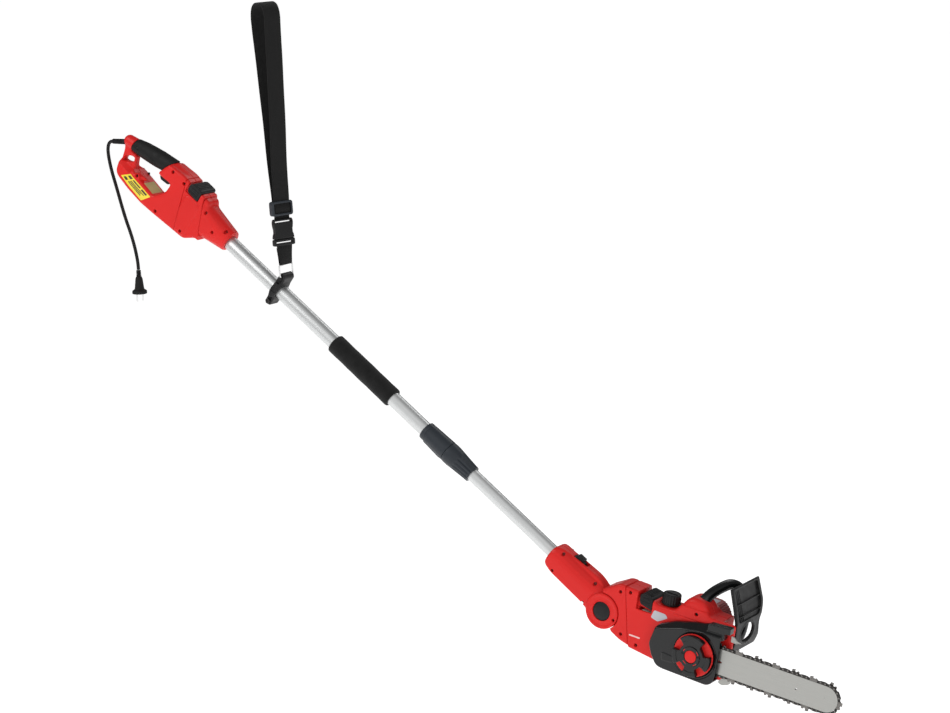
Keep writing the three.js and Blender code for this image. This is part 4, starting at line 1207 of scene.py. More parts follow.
def make_adapter():
    body = slab(polygon(rounded(ADAPTER_SIDE, 7)), adapter_half, 4)
    mouth = turned(ADAPTER_FLARE)
    cheek = about_pivot(KNUCKLE_R, -KNUCKLE_HALF, KNUCKLE_HALF, 2.2)
    whole = blend(2.5, both(body, mouth, edge=3), cheek)
    fork = brick((1060, -TONGUE_HALF - 0.4, -49), (1140, TONGUE_HALF + 0.4, 36), 0.5)
    hollow = both(fork, about_pivot(38, -20, 20))
    bore = drum(0, (0, 0), INNER_R + 0.3, 940, 1001, 0.1)
    passage = drum(0, (0, 0), INNER_BORE, 998, 1040, 0.1)
    seat = brick((SLIDER_X - 13.4, -SLIDER_HALF - 1, 17), (SLIDER_X + 20, SLIDER_HALF + 1, 60), 1)
    caps = [about_pivot(18.9, *on_side(s, 23.5, 40), 0.2) for s in (-1, 1)]
    dish = [cut(about_pivot(29.5, *on_side(s, 29.1, 40), 0.6), about_pivot(21.5, -50, 50)) for s in (-1, 1)]
    field = cut(whole, bore, passage, hollow, about_pivot(6.5, -40, 40), *caps, *dish, seat, edge=0.8)
    field = cut(field, *screw_pits(ADAPTER_SCREWS, 26, PIT_R), *screw_pits(SHOULDER_SCREWS, 22, PIT_R, 6),
                *screw_pits([CHEEK_SCREW], KNUCKLE_HALF - 1, PIT_R), edge=0.6)
    halves("adapter", field, (946, -31, -41), (1136, 31, 37), 1.3, TOOL, "front_pole", RED, "red_shell",
           ["pole_adapter"])
    add_screws("adapter", ADAPTER_SCREWS, 26, TOOL, "front_pole")
    add_screws("adapter_shoulder", SHOULDER_SCREWS, 22, TOOL, "front_pole", 5)
    add_screws("cheek", [CHEEK_SCREW], KNUCKLE_HALF - 1, TOOL, "front_pole")


def make_slider():
    x = SLIDER_X
    base = slab(polygon(rounded(rectangle((x - 13, 20), (x + 13, 30.5)), 1.5)), SLIDER_HALF, 1)
    outline = rounded([(x - 11, 26), (x + 10, 26), (x + 8, 38), (x - 8, 38)], 2)
    thumb = slab(polygon(outline), SLIDER_HALF - 0.2, 1.6)
    grooves = [drum(1, (x + d, 38.1), 1.0, -9, 9, 0.2) for d in (-4, 0, 4)]
    field = cut(blend(1.5, base, thumb), *grooves)
    obj = skin("tilt_slide", field, (x - 14, -8, 19), (x + 14, 8, 39), 0.7, TOOL)
    piece(obj, "tilt_slider", BLACK, "black_plastic", "tilt_slider")


def make_caps():
    x, z = PIVOT
    for side, word in SIDES:
        low, high = on_side(side, 25.4, 31.2)
        disc = about_pivot(18.3, low, high, 1.2)
        lip = cut(about_pivot(15.6, *on_side(side, 30.4, 34), 0.3), about_pivot(14.2, -50, 50))
        dome = limb((x, side * -31.5, z), (x, side * -31.6, z), 63, 63)
        field = both(cut(disc, lip), dome, edge=0.8)
        corners = (x - 19, low - 1, z - 19), (x + 19, high + 1, z + 19)
        obj = skin(f"knuckle_cap_{word}", field, *corners, 0.9, TOOL)
        piece(obj, "front_pole", BLACK, "black_plastic", f"tilt_cap_{word}")


def head_seam_x(z):
    return 54.8 - 0.207 * z


HEAD_ADAPTER = [(-8, 43), (29, 65), (62, 65), (72, 65), (72, -52), (44, -45), (22, -34)]
HEAD_SCREWS = [(33, 50), (47, -32)]


def make_head_adapter():
    body = slab(polygon(rounded(HEAD_ADAPTER, 6)), HOUSING_HALF, 6)
    body = both(body, behind(head_seam_x, -0.1), edge=1.1)
    body = cut(body, drum(1, (0, 0), KNUCKLE_R + 1.2, -40, 40, 0.1), edge=1.4)
    tongue = drum(1, (0, 0), KNUCKLE_R - 1, -TONGUE_HALF, TONGUE_HALF, 0.8)
    link = brick((20, -TONGUE_HALF, -22), (44, TONGUE_HALF, 30), 1)
    room = brick((44, -20, -34), (80, 20, 46), 2)
    field = cut(union(body, tongue, link), drum(1, (0, 0), 6.3, -40, 40, 0.1), room,
                *screw_pits(HEAD_SCREWS, HOUSING_HALF, PIT_R), edge=0.6)
    halves("knuckle_block", field, (-35, -29, -51), (68, 29, 64), 1.3, HEAD, "saw_head", RED, "red_shell",
           ["head_adapter"])
    add_screws("knuckle_block", HEAD_SCREWS, HOUSING_HALF, HEAD, "saw_head")


# ---------------------------------------------------------------- saw housing
HOUSING = [
    (40, 64.5), (70, 63.5), (106, 54), (114, 49), (150, 50), (160, 64), (173, 78), (203, 78), (217, 66),
    (224, 58.5), (277, 58.5), (277, -41), (263, -55.5), (124, -60.5), (40, -50),
]
HOUSING_HUMP = [(156, 30), (160, 65), (173, 82), (190, 86), (205, 81), (219, 67), (224, 30)]
HOUSING_HOLLOW = [
    (74, 34), (100, 30), (152, 40), (172, 60), (204, 56), (212, 45), (238, 45), (238, -48), (124, -52),
    (78, -42),
]
HANDLE_PATH = [
    (193, -4, 72), (197, 6, 83), (201, 22, 91), (208, 45, 98), (214, 63, 100), (224, 78, 94), (236, 86, 76),
    (242, 87, 40), (240, 84, 0), (230, 68, -28), (216, 46, -37), (211, HOUSING_HALF + 0.5, -38),
]
HANDLE_R = 10.5
HEAD_LATCH_REAR, HEAD_LATCH_FRONT = 74, 103
HEAD_LATCH_HALF, HEAD_LATCH_INNER = 26, 21
HEAD_LATCH_DROP = 10
OIL_X, OIL_Y, OIL_FLOOR = 129, -2, 47
HOUSING_SCREWS = [(54, 55), (82, -43), (196, 57)]
LATCH_SLOPE = -10 / 63


def top_at(x):
    return 62 + (x - 42) * LATCH_SLOPE


def make_housing():
    base = slab(polygon(rounded(HOUSING, 7)), HOUSING_HALF, 6)
    hump = slab(polygon(rounded(HOUSING_HUMP, 9)), 25, 11)
    outline = blend(3, both(base, half_space((0, 0, 66), (0, 0, 1)), edge=2), hump)
    body = both(outline, ahead(head_seam_x, 0.5), edge=1.1)
    hollow = slab(polygon(HOUSING_HOLLOW), 23, 1)
    guard_room = brick((249, -18.6, -70), (290, 40, 90), 1)
    sill = [(x, top_at(x) - HEAD_LATCH_DROP + 3) for x in (50, 130)]
    latch_open = cut(brick((HEAD_LATCH_REAR - 3.5, -40, 28), (HEAD_LATCH_FRONT + 0.7, 40, 90), 1),
                     slab(polygon([*sill, (130, 0), (50, 0)]), HEAD_LATCH_INNER - 0.5, 1))
    neck = drum(2, (OIL_X, OIL_Y), 12.5, 30, 60, 0.5)
    ring = drum(2, (OIL_X, OIL_Y), 20, 49.2, 60, 1)
    root = limb(HANDLE_PATH[0], HANDLE_PATH[1], HANDLE_R + 0.4, HANDLE_R + 0.4)
    foot = limb(HANDLE_PATH[-2], HANDLE_PATH[-1], HANDLE_R + 0.4, HANDLE_R + 0.4)
    motor = drum(1, MOTOR, 36, 0.5, 40, 0.2)
    shaft = drum(1, SPROCKET, 8, -40, -20, 0.2)
    stud = drum(1, KNOB, 4.4, -40, -20, 0.2)
    groove = brick((150, -HOUSING_HALF - 3, 42.8), (240, -HOUSING_HALF + 1.2, 44.4), 0.4)
    tools = [hollow, guard_room, latch_open, neck, ring, root, foot, motor, shaft, stud, groove,
             *screw_pits(HOUSING_SCREWS, HOUSING_HALF, 3.4)]
    field = cut(body, *tools, edge=0.8)
    halves("housing", field, (42, -29, -62), (278, 29, 86), 1.4, HEAD, "saw_head", RED, "red_shell",
           ["saw_housing"])
    add_screws("housing", HOUSING_SCREWS, HOUSING_HALF, HEAD, "saw_head")


def make_head_latch():
    rear, front = HEAD_LATCH_REAR, HEAD_LATCH_FRONT
    top = top_at(rear) + 4
    under = top_at(rear) - HEAD_LATCH_DROP + 3.5
    field = saddle(rear, front, top - 22, top, HEAD_LATCH_HALF, HEAD_LATCH_INNER, under, LATCH_SLOPE)
    obj = skin("head_catch", field, (rear, -28, 26), (front, 28, top + 4), 0.9, HEAD)
    piece(obj, "head_latch", BLACK, "black_plastic", "head_latch")


CAP_RIBS = 20


def make_oil_cap():
    low, high = OIL_FLOOR + 3.5, OIL_FLOOR + 25
    profile = [(low - 9, 0), (low - 9, 11.4), (low, 11.4), (low, 17.4), (low + 1, 18.5), (low + 3, 18.8),
               (low + 3.6, 18.2), (high - 2.5, 17.8), (high - 0.8, 16.8), (high, 15), (high - 0.9, 13.6),
               (high - 1.2, 9), (high - 1.2, 0)]

    def ribbed(a, d, r):
        if r < 16.5 or d < low + 3.4:
            return r
        return r - 0.9 * (0.5 - 0.5 * math.cos(a * CAP_RIBS)) ** 2
    obj = revolve("oil_filler_cap", refined(profile, 1.5), HEAD, 160, "Z", (OIL_X, OIL_Y, 0), ribbed)
    piece(obj, "oil_cap", BLACK, "black_plastic", "oil_cap")
    bar = rounded(rectangle((OIL_X - 11, high - 2), (OIL_X + 11, high + 0.4)), 0.6)
    corners = (OIL_X - 12, OIL_Y - 3, high - 3), (OIL_X + 12, OIL_Y + 3, high + 1)
    obj = skin("oil_cap_bar", slab(polygon(bar), 2, 0.5, OIL_Y), *corners, 0.6, HEAD)
    piece(obj, "oil_cap", BLACK, "black_plastic", "oil_cap")


MOTOR_RIBS = 44
MOTOR_FLAT = 62
MOTOR_WALL = 3.6


def make_motor():
    low, high = HOUSING_HALF + 0.3, HOUSING_HALF + 48
    profile = [(low, 36), (low, 38), (low + 1.5, 39.6), (low + 6, 40), (high - 9, 40), (high - 5, 37.5),
               (high - 1.5, 33.5), (high, 31), (high - 0.4, 24), (high - 2, 22), (high - 2, 5.6),
               (high - 5, 5.6), (high - 6, 36), (low, 36)]

    def shaped(a, d, r):
        """A drum with a flat top and with ribs round its front."""
        inside = r < 36.5 and d < high - 4
        level = MOTOR_FLAT - MOTOR[1] - (MOTOR_WALL if inside else 0)
        limit = level / max(math.cos(a), 1e-6)
        if r < 37 or d < low + 5:
            return min(r, limit)
        fade = np.clip((math.sin(a) - 0.35) / 0.15, 0, 1)
        return min(r - 1.3 * fade * (0.5 + 0.5 * math.cos(a * MOTOR_RIBS)) ** 2, limit)
    obj = revolve("motor_cowl", refined(profile, 2.5), HEAD, 352, "Y", (MOTOR[0], 0, MOTOR[1]), shaped)
    piece(obj, "saw_head", DARK_RED, "dark_red_shell", "motor_housing")
    x, z = MOTOR[0], MOTOR_FLAT - 0.05
    corners = [(u, y, z) for u, y in rectangle((x - 14, 34), (x + 12, 64))]
    thin_plate("motor_plate", corners, LABEL_THICK, HEAD, "saw_head", SILVER)


# ---------------------------------------------------------------- bar and chain
CHAIN_LINKS = 40
SPROCKET_LOOP_R = 19.5


def bar_outline(grow=0.0, rear=232):
    tip = arc((BAR_NOSE, BAR_Z), BAR_HALF + grow, -90, 90, 40)
    tail = [(rear, BAR_Z + BAR_HALF + grow), (200 - grow, BAR_Z + 15 + grow), (200 - grow, BAR_Z - 15 - grow),
            (rear, BAR_Z - BAR_HALF - grow)]
    return np.vstack([tip, tail])


def ring_plate(name, outer, holes, y0, y1, at):
    """A flat plate with holes, cut out as a filled 2D curve and given thickness and a fine bevel."""
    data = bpy.data.curves.new(name, "CURVE")
    data.dimensions = "2D"
    data.fill_mode = "BOTH"
    data.extrude = (y1 - y0) / 2 * MM - 0.2 * MM
    data.bevel_depth = 0.2 * MM
    data.bevel_resolution = 1
    for loop in (outer, *holes):
        spline = data.splines.new("POLY")
        spline.points.add(len(loop) - 1)
        for point, (x, z) in zip(spline.points, loop):
            point.co = (x * MM, z * MM, 0, 1)
        spline.use_cyclic_u = True
    shape = bpy.data.objects.new(name, data)
    bpy.context.scene.collection.objects.link(shape)
    bpy.context.view_layer.update()
    mesh = bpy.data.meshes.new_from_object(shape.evaluated_get(bpy.context.evaluated_depsgraph_get()))
    bpy.data.objects.remove(shape)
    mesh.name = name
    turn = Matrix.Translation((0, (y0 + y1) / 2 * MM, 0)) @ Matrix.Rotation(math.pi / 2, 4, "X")
    mesh.transform(turn)
    obj = bpy.data.objects.new(name, mesh)
    bpy.context.scene.collection.objects.link(obj)
    obj.matrix_world = at
    mesh.shade_smooth()
    mesh.set_sharp_from_angle(angle=math.radians(30))
    return obj


def make_bar():
    half = BAR_THICK / 2
    slot = rounded(rectangle((207, BAR_Z - 4.3), (240, BAR_Z + 4.3)), 4)
    adjuster = rounded(rectangle((257.5, BAR_Z - 2.6), (270, BAR_Z + 1.4)), 1.6)
    oil_hole = arc((424, BAR_Z), 2.2, 0, 345, 20)
    lower_hole = arc((240, BAR_Z - 17), 2.0, 0, 345, 16)
    holes = [slot, adjuster, oil_hole, lower_hole]
    for i, (y0, y1) in enumerate(((-half, -0.75), (0.75, half))):
        plate = ring_plate(f"bar_plate_{i + 1}", bar_outline(), holes, BAR_Y + y0, BAR_Y + y1, HEAD)
        piece(plate, "saw_head", STEEL, "steel", "guide_bar")
    core = ring_plate("bar_core", bar_outline(-4.5), holes[:3], BAR_Y - 0.7, BAR_Y + 0.7, HEAD)
    piece(core, "saw_head", DARK_STEEL, "steel")
    low, high, radius = BAR_Y - half, BAR_Y + half, 2.2
    profile = [(low - 0.2, 0), (low - 0.2, radius - 0.5), (low - 0.05, radius), (high + 0.05, radius),
               (high + 0.2, radius - 0.5), (high + 0.2, 0)]
    rivet = revolve("nose_rivet", profile, HEAD, 24, "Y", (BAR_NOSE - 1.5, 0, BAR_Z))
    piece(rivet, "saw_head", STEEL, "steel")


def chain_loop():
    """The rivet line: round the nose, back along the lower edge, round the sprocket and out again."""
    r = BAR_HALF + 3.3
    nose = arc((BAR_NOSE, BAR_Z), r, 90, -90, 60)
    tail = arc(SPROCKET, SPROCKET_LOOP_R, 255, 105, 40)
    loop = np.vstack([nose, [(236, BAR_Z - r)], tail, [(236, BAR_Z + r)]])
    closed = np.vstack([loop, loop[:1]])
    run = np.concatenate([[0], np.cumsum(np.hypot(*np.diff(closed, axis=0).T))])
    return closed, run


def place_on_loop(closed, run, s):
    s = s % run[-1]
    at = np.array([np.interp(s, run, closed[:, 0]), np.interp(s, run, closed[:, 1])])
    s2 = (s + 0.4) % run[-1]
    ahead_at = np.array([np.interp(s2, run, closed[:, 0]), np.interp(s2, run, closed[:, 1])])
    d = ahead_at - at
    d /= np.hypot(*d)
    return at, d


def make_chain():
    closed, run = chain_loop()
    pitch = run[-1] / (2 * CHAIN_LINKS)
    half = pitch * 0.5
    strap = rounded([(-half - 2.6, -2.8), (half + 2.6, -2.8), (half + 2.9, 1.6), (0, 2.2),
                     (-half - 2.9, 1.6)], 1.6, 3)
    drive = rounded([(-half - 2.4, 2.4), (-half - 2.4, -2.4), (-2.4, -3.2), (0.6, -7.8), (2.2, -3.2),
                     (half + 2.4, -2.4), (half + 2.4, 2.4), (0, 1.2)], 1.0, 3)
    cutter = rounded([(-half - 2.7, -2.8), (half + 2.7, -2.8), (half + 2.7, 3.8), (half - 0.4, 4.9),
                      (1.2, 1.6), (-0.6, 2.2), (-1.4, 6.0), (-half - 2.7, 5.0)], 0.5, 2)
    plate = rounded([(-half - 2.7, 4.6), (-1.2, 5.4), (-1.2, 6.4), (-half - 2.7, 5.5)], 0.3, 2)
    rivet = arc((0, 0), 1.7, 0, 330, 12)
    parts = {"chain_links": ([], []), "chain_cutters": ([], [])}

    def add_part(target, outline, y0, y1, s, offset=0.0):
        at, d = place_on_loop(closed, run, s + offset)
        out = np.array([-d[1], d[0]])
        start = len(parts[target][0])
        for u, y, v in prism_points(outline, y0, y1):
            x, z = at + u * d + v * out
            parts[target][0].append((x, BAR_Y + y, z))
        parts[target][1].extend(tuple(start + i for i in f) for f in prism_faces(len(outline)))

    for k in range(CHAIN_LINKS):
        s = 2 * k * pitch
        add_part("chain_links", drive, -0.6, 0.6, s)
        is_cutter = k % 2 == 0
        side = 1 if k % 4 == 0 else -1
        for y_side in (-1, 1):
            y0, y1 = sorted((y_side * 0.75, y_side * 1.95))
            if is_cutter and y_side == side:
                add_part("chain_cutters", cutter, y0, y1, s + pitch)
                p0, p1 = sorted((y_side * 0.2, y_side * 3.3))
                add_part("chain_cutters", plate, p0, p1, s + pitch)
            else:
                add_part("chain_links", strap, y0, y1, s + pitch)
        for end in (-0.5, 0.5):
            add_part("chain_cutters", rivet, -2.5, 2.5, s + end * pitch)
    for name, (vertices, faces) in parts.items():
        obj = solid_object(name, vertices, faces, HEAD, 30)
        material = DARK_STEEL if name == "chain_links" else CUTTER
        piece(obj, "saw_head", material, "dark_steel", "saw_chain")


# ---------------------------------------------------------------- side cover and knob
COVER = [
    (128, 19), (119, -19), (127, -39), (140, -57), (152, -60), (250, -62), (261, -54), (264.5, -30),
    (264, 40), (262, 52), (231, 55), (224, 49), (196, 44), (160, 34),
]
COVER_TOP = [(100, 5), (131, 15.5), (140, 17), (183, 31), (226, 37), (300, 38), (300, -120), (100, -120)]
COVER_BLOCK = [(231, 28), (231, 55), (278, 59), (278, 38), (266, 30), (250, 26)]
COVER_ROOM = [(138, 12), (138, -34), (152, -48), (285, -51), (285, 31), (200, 31), (160, 24)]
RAISED_BAND = [(150, -27), (176, -29), (176, -40), (152, -42)]


def make_cover():
    """The face is cut back to a line that slopes; behind it the top edge rises to the housing as a bevel."""
    shell = slab(polygon(rounded(COVER, 6)), 12, 3, -40)
    face = polygon(COVER_TOP)

    def bevel(x, y, z):
        return (face(x, z) + (-52 - y) * 0.62) * 0.85
    shell = both(shell, bevel, edge=1.2)
    block = slab(polygon(rounded(COVER_BLOCK, 3)), 8.5, 2, -37)
    room = slab(polygon(rounded(COVER_ROOM, 4)), 20, 1, -28.5)
    recess = drum(1, KNOB, 43.2, -60, -50.2, 0.3)
    notch = brick((267, -50, 30), (285, -28, 46), 1.5)
    arcs = drum(1, KNOB, 46.8, -60, -51.2, 0.2)
    band = slab(polygon(rounded(RAISED_BAND, 3)), 0.8, 0.4, -52)
    whole = blend(2, shell, block, band)
    field = cut(whole, room, recess, arcs, notch, drum(1, KNOB, 6, -60, -40, 0.2), edge=0.6)
    obj = skin("sprocket_cover", field, (118, -53.5, -63), (279, -28.3, 60), 1.2, HEAD)
    piece(obj, "saw_head", SMOOTH_BLACK, "black_plastic", "side_cover")


def about_knob(radius, low, high, edge=0.4, turn=None, reach=0.0):
    x, z = KNOB
    if turn is not None:
        x += reach * math.cos(math.radians(turn))
        z += reach * math.sin(math.radians(turn))
    return drum(1, (x, z), radius, low, high, edge)


LOBES = ((95, 80), (-9, 46), (-88, 46), (195, 46))     # middle and width of each lobe, in degrees


def sector(middle, width):
    """A wedge of the knob, open outwards."""
    x0, z0 = KNOB

    def field(x, y, z):
        angle = np.arctan2(z - z0, x - x0) - math.radians(middle)
        away = np.abs((angle + math.pi) % TAU - math.pi) - math.radians(width / 2)
        return away * np.hypot(x - x0, z - z0) + 0 * y
    return field


def make_knob():
    x, z = KNOB
    disc = cut(about_knob(41, -55.4, -52.3, 1.0), about_knob(14.4, -60, -40, 0.1), edge=0.3)
    teeth = [about_knob(1.6, -60, -40, 0.1, 360 * i / 36, 42.2) for i in range(36)]
    field = cut(disc, *teeth, edge=0.4)
    obj = skin("tension_dial", field, (x - 42, -56, z - 42), (x + 42, -52, z + 42), 0.9, HEAD)
    piece(obj, "tension_ring", RED, "red_shell", "tension_ring")
    arms = [both(about_knob(39.5, -66.5, -55.8, 1.6), sector(*lobe), edge=2.5) for lobe in LOBES]
    hub = about_knob(25, -66.5, -55.8, 1.6)
    sleeve = about_knob(14, -60, -52.6, 0.3)
    bridge = blend(4, hub, *arms)
    bowl = cut(about_knob(30.5, -80, -65.2, 0.4), about_knob(19.4, -90, -50, 0.2))
    well = about_knob(12.6, -80, -64.6, 0.2)
    stud_hole = about_knob(4.4, -64, -50, 0.1)
    field = cut(union(bridge, sleeve), bowl, well, stud_hole, edge=0.6)
    obj = skin("knob_handle", field, (x - 41, -68, z - 41), (x + 41, -52, z + 41), 0.9, HEAD)
    piece(obj, "cover_knob", SMOOTH_BLACK, "black_plastic", "cover_knob")
    cap = blend(1, about_knob(11.9, -67, -64.7, 0.8), about_knob(9, -67.4, -64.7, 0.6))
    obj = skin("knob_centre", cap, (x - 13, -68, z - 13), (x + 13, -64, z + 13), 0.6, HEAD)
    piece(obj, "cover_knob", RED, "red_shell")
    for i, (a0, a1) in enumerate(((25, 155), (205, 335))):
        outline = np.vstack([arc(KNOB, 17.7, a0, a1, 24), arc(KNOB, 16.5, a1, a0, 24)])
        plate_piece(f"knob_arc_{i + 1}", outline, -66.4, HEAD, "cover_knob", RED, 0.4)
        dot = arc((x + (17 if i else -17), z), 1.6, 0, 330, 12)
        plate_piece(f"knob_dot_{i + 1}", dot, -66.4, HEAD, "cover_knob", RED, 0.4)


# ---------------------------------------------------------------- guard, handle and small metal parts
def make_front_handle():
    path = smooth_path(HANDLE_PATH, 70)
    obj = sweep("front_bail", path, circle(HANDLE_R, 32), HEAD)
    piece(obj, "saw_head", SMOOTH_BLACK, "black_plastic", "front_handle")


GUARD_SIDE = [
    (268, -4), (275, 0), (279, 20), (278, 60), (271, 84), (256, 124), (251, 122), (265, 82), (272, 60),
    (273, 22), (268, 8),
]
GUARD_FACE = [(-18, 130), (92, 130), (94, 78), (76, 46), (82, 10), (60, -22), (-10, -22), (-18, 10)]
GUARD_WINDOW = ((30, 34), (27, 19))


def make_guard():
    side = polygon(rounded(GUARD_SIDE, 3))
    face = polygon(rounded(GUARD_FACE, 9))
    inner = polygon(rounded([(-10, 119), (83, 119), (85, 79), (72, 60), (-10, 60)], 6))
    (wy, wz), (ry, rz) = GUARD_WINDOW

    def field(x, y, z):
        body = meet(side(x, z), face(y, z), 1.4)
        window = (np.sqrt(((y - wy) / ry) ** 2 + ((z - wz) / rz) ** 2) - 1) * min(ry, rz)
        pane = inner(y, z)
        front_x = 268 - 0.36 * (z - 70)
        pocket = np.maximum(pane, np.abs(x - front_x - 14) - 10.6)
        return meet(np.maximum(body, -pocket), -window, 1.2)

    ribs = []
    for z, y0, y1 in ((70, -8, 80), (92, -8, 82)):
        x = 277.5 - 0.37 * max(0, z - 62)
        ribs.append(limb((x, y0, z), (x, y1, z), 1.1, 1.1))
    ribs += [limb((276.5, y, 60), (256, y, 112), 1.0, 1.0) for y in (0, 6, 12)]
    hoop = [(276, wy + (ry + 2) * math.cos(a), wz + (rz + 2) * math.sin(a)) for a in np.linspace(0, TAU, 25)]
    rim = [limb(p, q, 3, 3) for p, q in zip(hoop, hoop[1:])]
    boss = drum(1, GUARD_AXIS, 7, -18, 30, 0.8)
    whole = blend(1.2, field, boss, *ribs, *rim)
    whole = cut(whole, drum(1, GUARD_AXIS, 3.4, -30, 40, 0.1), edge=0.3)
    obj = skin("guard_plate", whole, (248, -19, -12), (281, 96, 126), 1.2, HEAD)
    piece(obj, "hand_guard", BLACK, "black_plastic", "hand_guard")


SPIKES = [
    (276.4, 29.5), (276.4, 41), (282, 39.5), (287, 36), (285, 34.6), (297, 31.8), (287, 30.6), (290, 28.4),
    (282, 29.3),
]
CATCHER = [(262.2, -54.3), (276.3, -40.2), (286, -49), (284, -56), (270, -61.5), (262, -59)]


def make_small_metal():
    obj = ring_plate("spike_plate", rounded(SPIKES, 0.8, 3), [], -31.4, -28.4, HEAD)
    piece(obj, "saw_head", STEEL, "steel", "spike_bumper")
    obj = ring_plate("catcher_plate", rounded(CATCHER, 3, 5), [], -26, -20, HEAD)
    piece(obj, "saw_head", STEEL, "steel", "chain_catcher")


def make_badges():
    y = -HOUSING_HALF + 0.05
    outline = rounded([(104.5, 22), (109.5, 38), (134, 37), (139.5, 30.5), (119.5, 18)], 3)
    plate_piece("side_badge", outline, y, HEAD, "saw_head", SILVER, 0.5)
    plate_piece("head_label", rounded(rectangle((65, -28), (89, -25)), 1.5), y, HEAD, "saw_head", PALE)


# ---------------------------------------------------------------- strap
WEB_WIDTH = 38
WEB_THICK = 1.8
RING_HALF, RING_RISE, RING_WIRE, RING_CORNER = 21.8, 24, 1.6, 4
GLIDE = (122, 152)
FEMALE = (76, 116)
MALE_LOW = 62
LOOP_FOOT, LOOP_SHOULDER, LOOP_HALF = 124, STRAP_DROP - 34, 25


def bezier(p0, p1, p2, p3, steps):
    t = np.linspace(0, 1, steps)[:, None]
    p0, p1, p2, p3 = (np.array(p, float) for p in (p0, p1, p2, p3))
    return (1 - t) ** 3 * p0 + 3 * (1 - t) ** 2 * t * p1 + 3 * (1 - t) * t ** 2 * p2 + t ** 3 * p3


def web_section(width=WEB_WIDTH, thick=WEB_THICK):
    """Flat webbing with rounded selvedges and a slight crown."""
    half, r = width / 2, thick / 2
    side = [(half - r + r * math.sin(a), r * math.cos(a)) for a in np.linspace(0, math.pi, 7)]
    other = [(-half + r - r * math.sin(a), -r * math.cos(a)) for a in np.linspace(0, math.pi, 7)]
    across = np.linspace(-0.8, 0.8, 9) * half
    top = [(u, r) for u in across]
    bottom = [(u, -r) for u in across[::-1]]
    return np.array(top + side + bottom + other)


def band(name, path, width=WEB_WIDTH, thick=WEB_THICK, turn=None):
    """Webbing along a path in the X-Z plane, its width along Y; turn(t) twists it about Z, in degrees."""
    section = web_section(width, thick)
    n = len(path)
    tangent = np.gradient(path, axis=0)
    tangent /= np.linalg.norm(tangent, axis=1)[:, None]
    rings = []
    for i in range(n):
        a = math.radians(turn(i / (n - 1))) if turn else 0.0
        side = np.array([-math.sin(a), math.cos(a), 0])
        normal = np.cross(tangent[i], side)
        rings.append(path[i] + np.outer(section[:, 0], side) + np.outer(section[:, 1], normal))
    obj = solid_object(name, np.concatenate(rings), ring_faces(n, len(section)), STRAP, 50)
    weld(obj)
    return obj


def make_shoulder_strap():
    """One long band: up its front strand, over the top and down the rear one, drawn together at the glide."""
    foot, shoulder, half, top = LOOP_FOOT, LOOP_SHOULDER, LOOP_HALF, STRAP_DROP
    edge = WEB_THICK / 2
    inset = half - edge
    up = bezier((1.1, 0, foot), (4, 0, foot + 60), (15, 0, shoulder - 160), (inset, 0, shoulder), 50)
    over = bezier((inset, 0, shoulder), (inset, 0, top - 9), (14, 0, top - edge), (0, 0, top - edge), 14)
    path = np.vstack([up, over[1:]])
    mirrored = path[::-1][1:] * np.array([-1, 1, 1])
    path = np.vstack([path, mirrored])
    sway = 0.9 * np.sin(path[:, 2] / 47) + 0.5 * np.sin(path[:, 2] / 23 + 1)
    calm = np.clip((path[:, 2] - foot) / 60, 0, 1) * np.clip((top - 20 - path[:, 2]) / 80, 0, 1)
    path[:, 0] += sway * calm
    loop = band("strap_loop_band", path)
    piece(loop, "strap_upper", WEBBING, "webbing", "shoulder_strap")
    tail_path = np.array([(0, 0, z) for z in np.linspace(FEMALE[1] - 2, LOOP_FOOT + 6, 8)])
    tail = piece(band("strap_tail", tail_path, 36, 1.7), "strap_upper", WEBBING, "webbing")
    low, high = GLIDE
    fold_path = smooth_path([(2.6, 0, high - 2), (3.4, 0, high - 6), (5.2, 0, (low + high) / 2),
                             (3.4, 0, low + 6), (2.6, 0, low + 2)], 16)
    fold = piece(band("strap_fold", fold_path, 36, 1.6), "strap_upper", WEBBING, "webbing")
    seams = union(*[limb((2.4, y, 160), (2.4, y, 186), 0.5, 0.5) for y in (-15, 15)])
    keeper = skin("strap_stitching", seams, (1.4, -16.5, 158), (3.5, 16.5, 188), 0.45, STRAP)
    piece(keeper, "strap_upper", WEBBING, "webbing")


def make_lower_webbing():
    low = RING_RISE + RING_WIRE + 1.4
    points = [(-1.2, 0, 58), (-1.4, 0, 44), (-2.4, 0, low + 6)]
    points += [(3.2 * math.cos(a), 0, RING_RISE - 3.2 * math.sin(a)) for a in np.radians(range(180, 361, 30))]
    points += [(2.4, 0, low + 6), (1.4, 0, 44), (1.2, 0, 60), (1.1, 0, MALE_LOW + 3)]
    path = smooth_path(points, 60)
    top, bottom = MALE_LOW, RING_RISE
    n = len(path)

    def turn(t):
        z = path[min(n - 1, int(round(t * (n - 1)))), 2]
        return -STRAP_TURN * (1 - np.clip((z - bottom) / (top - bottom), 0, 1))
    web = band("ring_webbing", path, WEB_WIDTH - 1, 1.7, turn)
    piece(web, "strap_lower", WEBBING, "webbing", "lower_webbing")


def rounded_box(low, high, corner, edge, axis=0):
    """A block whose outline across the strap has round corners."""
    (x0, y0, z0), (x1, y1, z1) = low, high
    flat = polygon(rounded(rectangle((y0, z0), (y1, z1)), corner))
    return lambda x, y, z: meet(flat(y, z), np.abs(x - (x0 + x1) / 2) - (x1 - x0) / 2, edge)


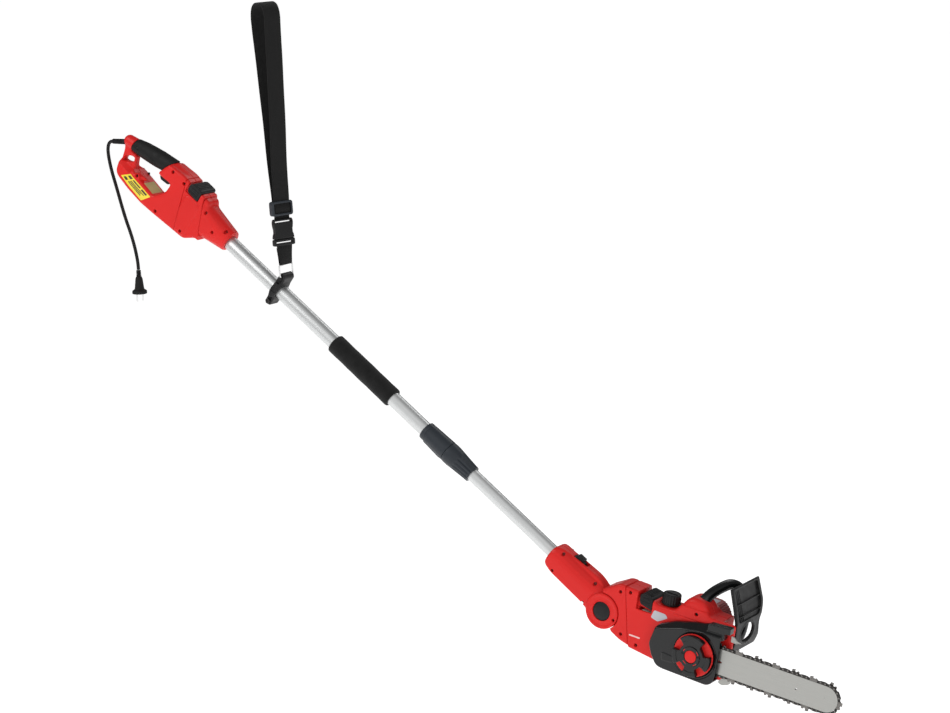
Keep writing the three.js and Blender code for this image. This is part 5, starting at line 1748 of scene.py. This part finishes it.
def make_glide():
    low, high = GLIDE
    frame_body = rounded_box((-6.5, -25, low), (6.5, 25, high), 6, 2.2)
    pass_through = brick((-4.6, -21, low - 5), (4.6, 21, high + 5), 1)
    window = brick((3, -20, low + 5), (20, 20, high - 5), 2)
    glide = cut(frame_body, pass_through, window, edge=0.7)
    obj = skin("glide_frame", glide, (-7, -26, low - 1), (7, 26, high + 1), 0.9, STRAP)
    piece(obj, "strap_upper", GREY_BLACK, "black_plastic", "tri_glide")


def make_female_buckle():
    low, high = FEMALE
    flare = polygon(rounded([(-22, high), (22, high), (23.5, high - 8), (21, low + 16), (24, low), (-24, low),
                             (-21, low + 16), (-23.5, high - 8)], 3))

    def body(x, y, z):
        return meet(flare(y, z), np.abs(x) - 6 + 0.03 * (z - low), 2)
    mouth = brick((-3, -19, low - 5), (3, 19, low + 22), 0.6)
    slit = brick((-20, -20, high - 7.2), (20, 20, high - 4.2), 0.8)
    windows = [brick((-20, s * 25 - 4.5, low + 9), (20, s * 25 + 4.5, low + 21), 2) for s in (-1, 1)]
    female = cut(body, mouth, slit, *windows, edge=0.7)
    obj = skin("buckle_socket", female, (-7, -25, low - 1), (7, 25, high + 1), 0.9, STRAP)
    piece(obj, "strap_upper", BLACK, "black_plastic", "buckle_female")


def make_male_buckle():
    low, high = MALE_LOW, FEMALE[0] - SEAM_GAP
    base = rounded_box((-5, -25, low), (5, 25, high), 3.5, 2)
    prongs = [brick((-2.4, s * 14 - 3.5, high - 4), (2.4, s * 14 + 3.5, high + 20), 1.2) for s in (-1, 1)]
    spine = brick((-2.2, -3, high - 4), (2.2, 3, high + 18), 1)
    slit = brick((-20, -20, low + 5.2), (20, 20, low + 8.2), 0.8)
    male = cut(union(base, *prongs, spine), slit, edge=0.7)
    obj = skin("buckle_prong", male, (-6, -26, low - 1), (6, 26, high + 21), 0.9, STRAP)
    piece(obj, "strap_lower", BLACK, "black_plastic", "buckle_male")


def make_ring():
    flat = rounded(rectangle((-RING_HALF, 0), (RING_HALF, RING_RISE)), RING_CORNER, 7)
    path = np.array([(0, y, z) for y, z in flat])
    obj = sweep("wire_ring", path, circle(RING_WIRE, 16), RING, closed=True, up=(1, 0, 0))
    piece(obj, "strap_lower", BRIGHT, "steel", "strap_ring")


# ---------------------------------------------------------------- CAD nodes that stay as they are
INSIDE = {
    "trigger_switch": NYLON, "lock_collet": NYLON, "oil_tank": NYLON, "oil_pump": NYLON,
    "motor_stator": COPPER, "motor_armature": DARK_STEEL, "drive_gear": DARK_STEEL, "nose_sprocket": STEEL,
    "bar_stud": BRIGHT, "guard_pin": BRIGHT, "tilt_bolt": BRIGHT,
}


def finish_inside():
    for name, material in INSIDE.items():
        mesh = frame["nodes"][name].data
        mesh.materials.clear()
        mesh.materials.append(material)


make_camera()
make_cord()
make_studio()
make_relief()
make_rear_shells()
make_grip()
make_trigger()
make_rear_latch()
make_labels()
make_socket()
make_tubes()
make_foam()
make_clamp()
make_lock()
make_adapter()
make_slider()
make_caps()
make_head_adapter()
make_housing()
make_head_latch()
make_oil_cap()
make_motor()
make_bar()
make_chain()
make_cover()
make_knob()
make_front_handle()
make_guard()
make_small_metal()
make_badges()
make_shoulder_strap()
make_lower_webbing()
make_glide()
make_female_buckle()
make_male_buckle()
make_ring()
finish_inside()
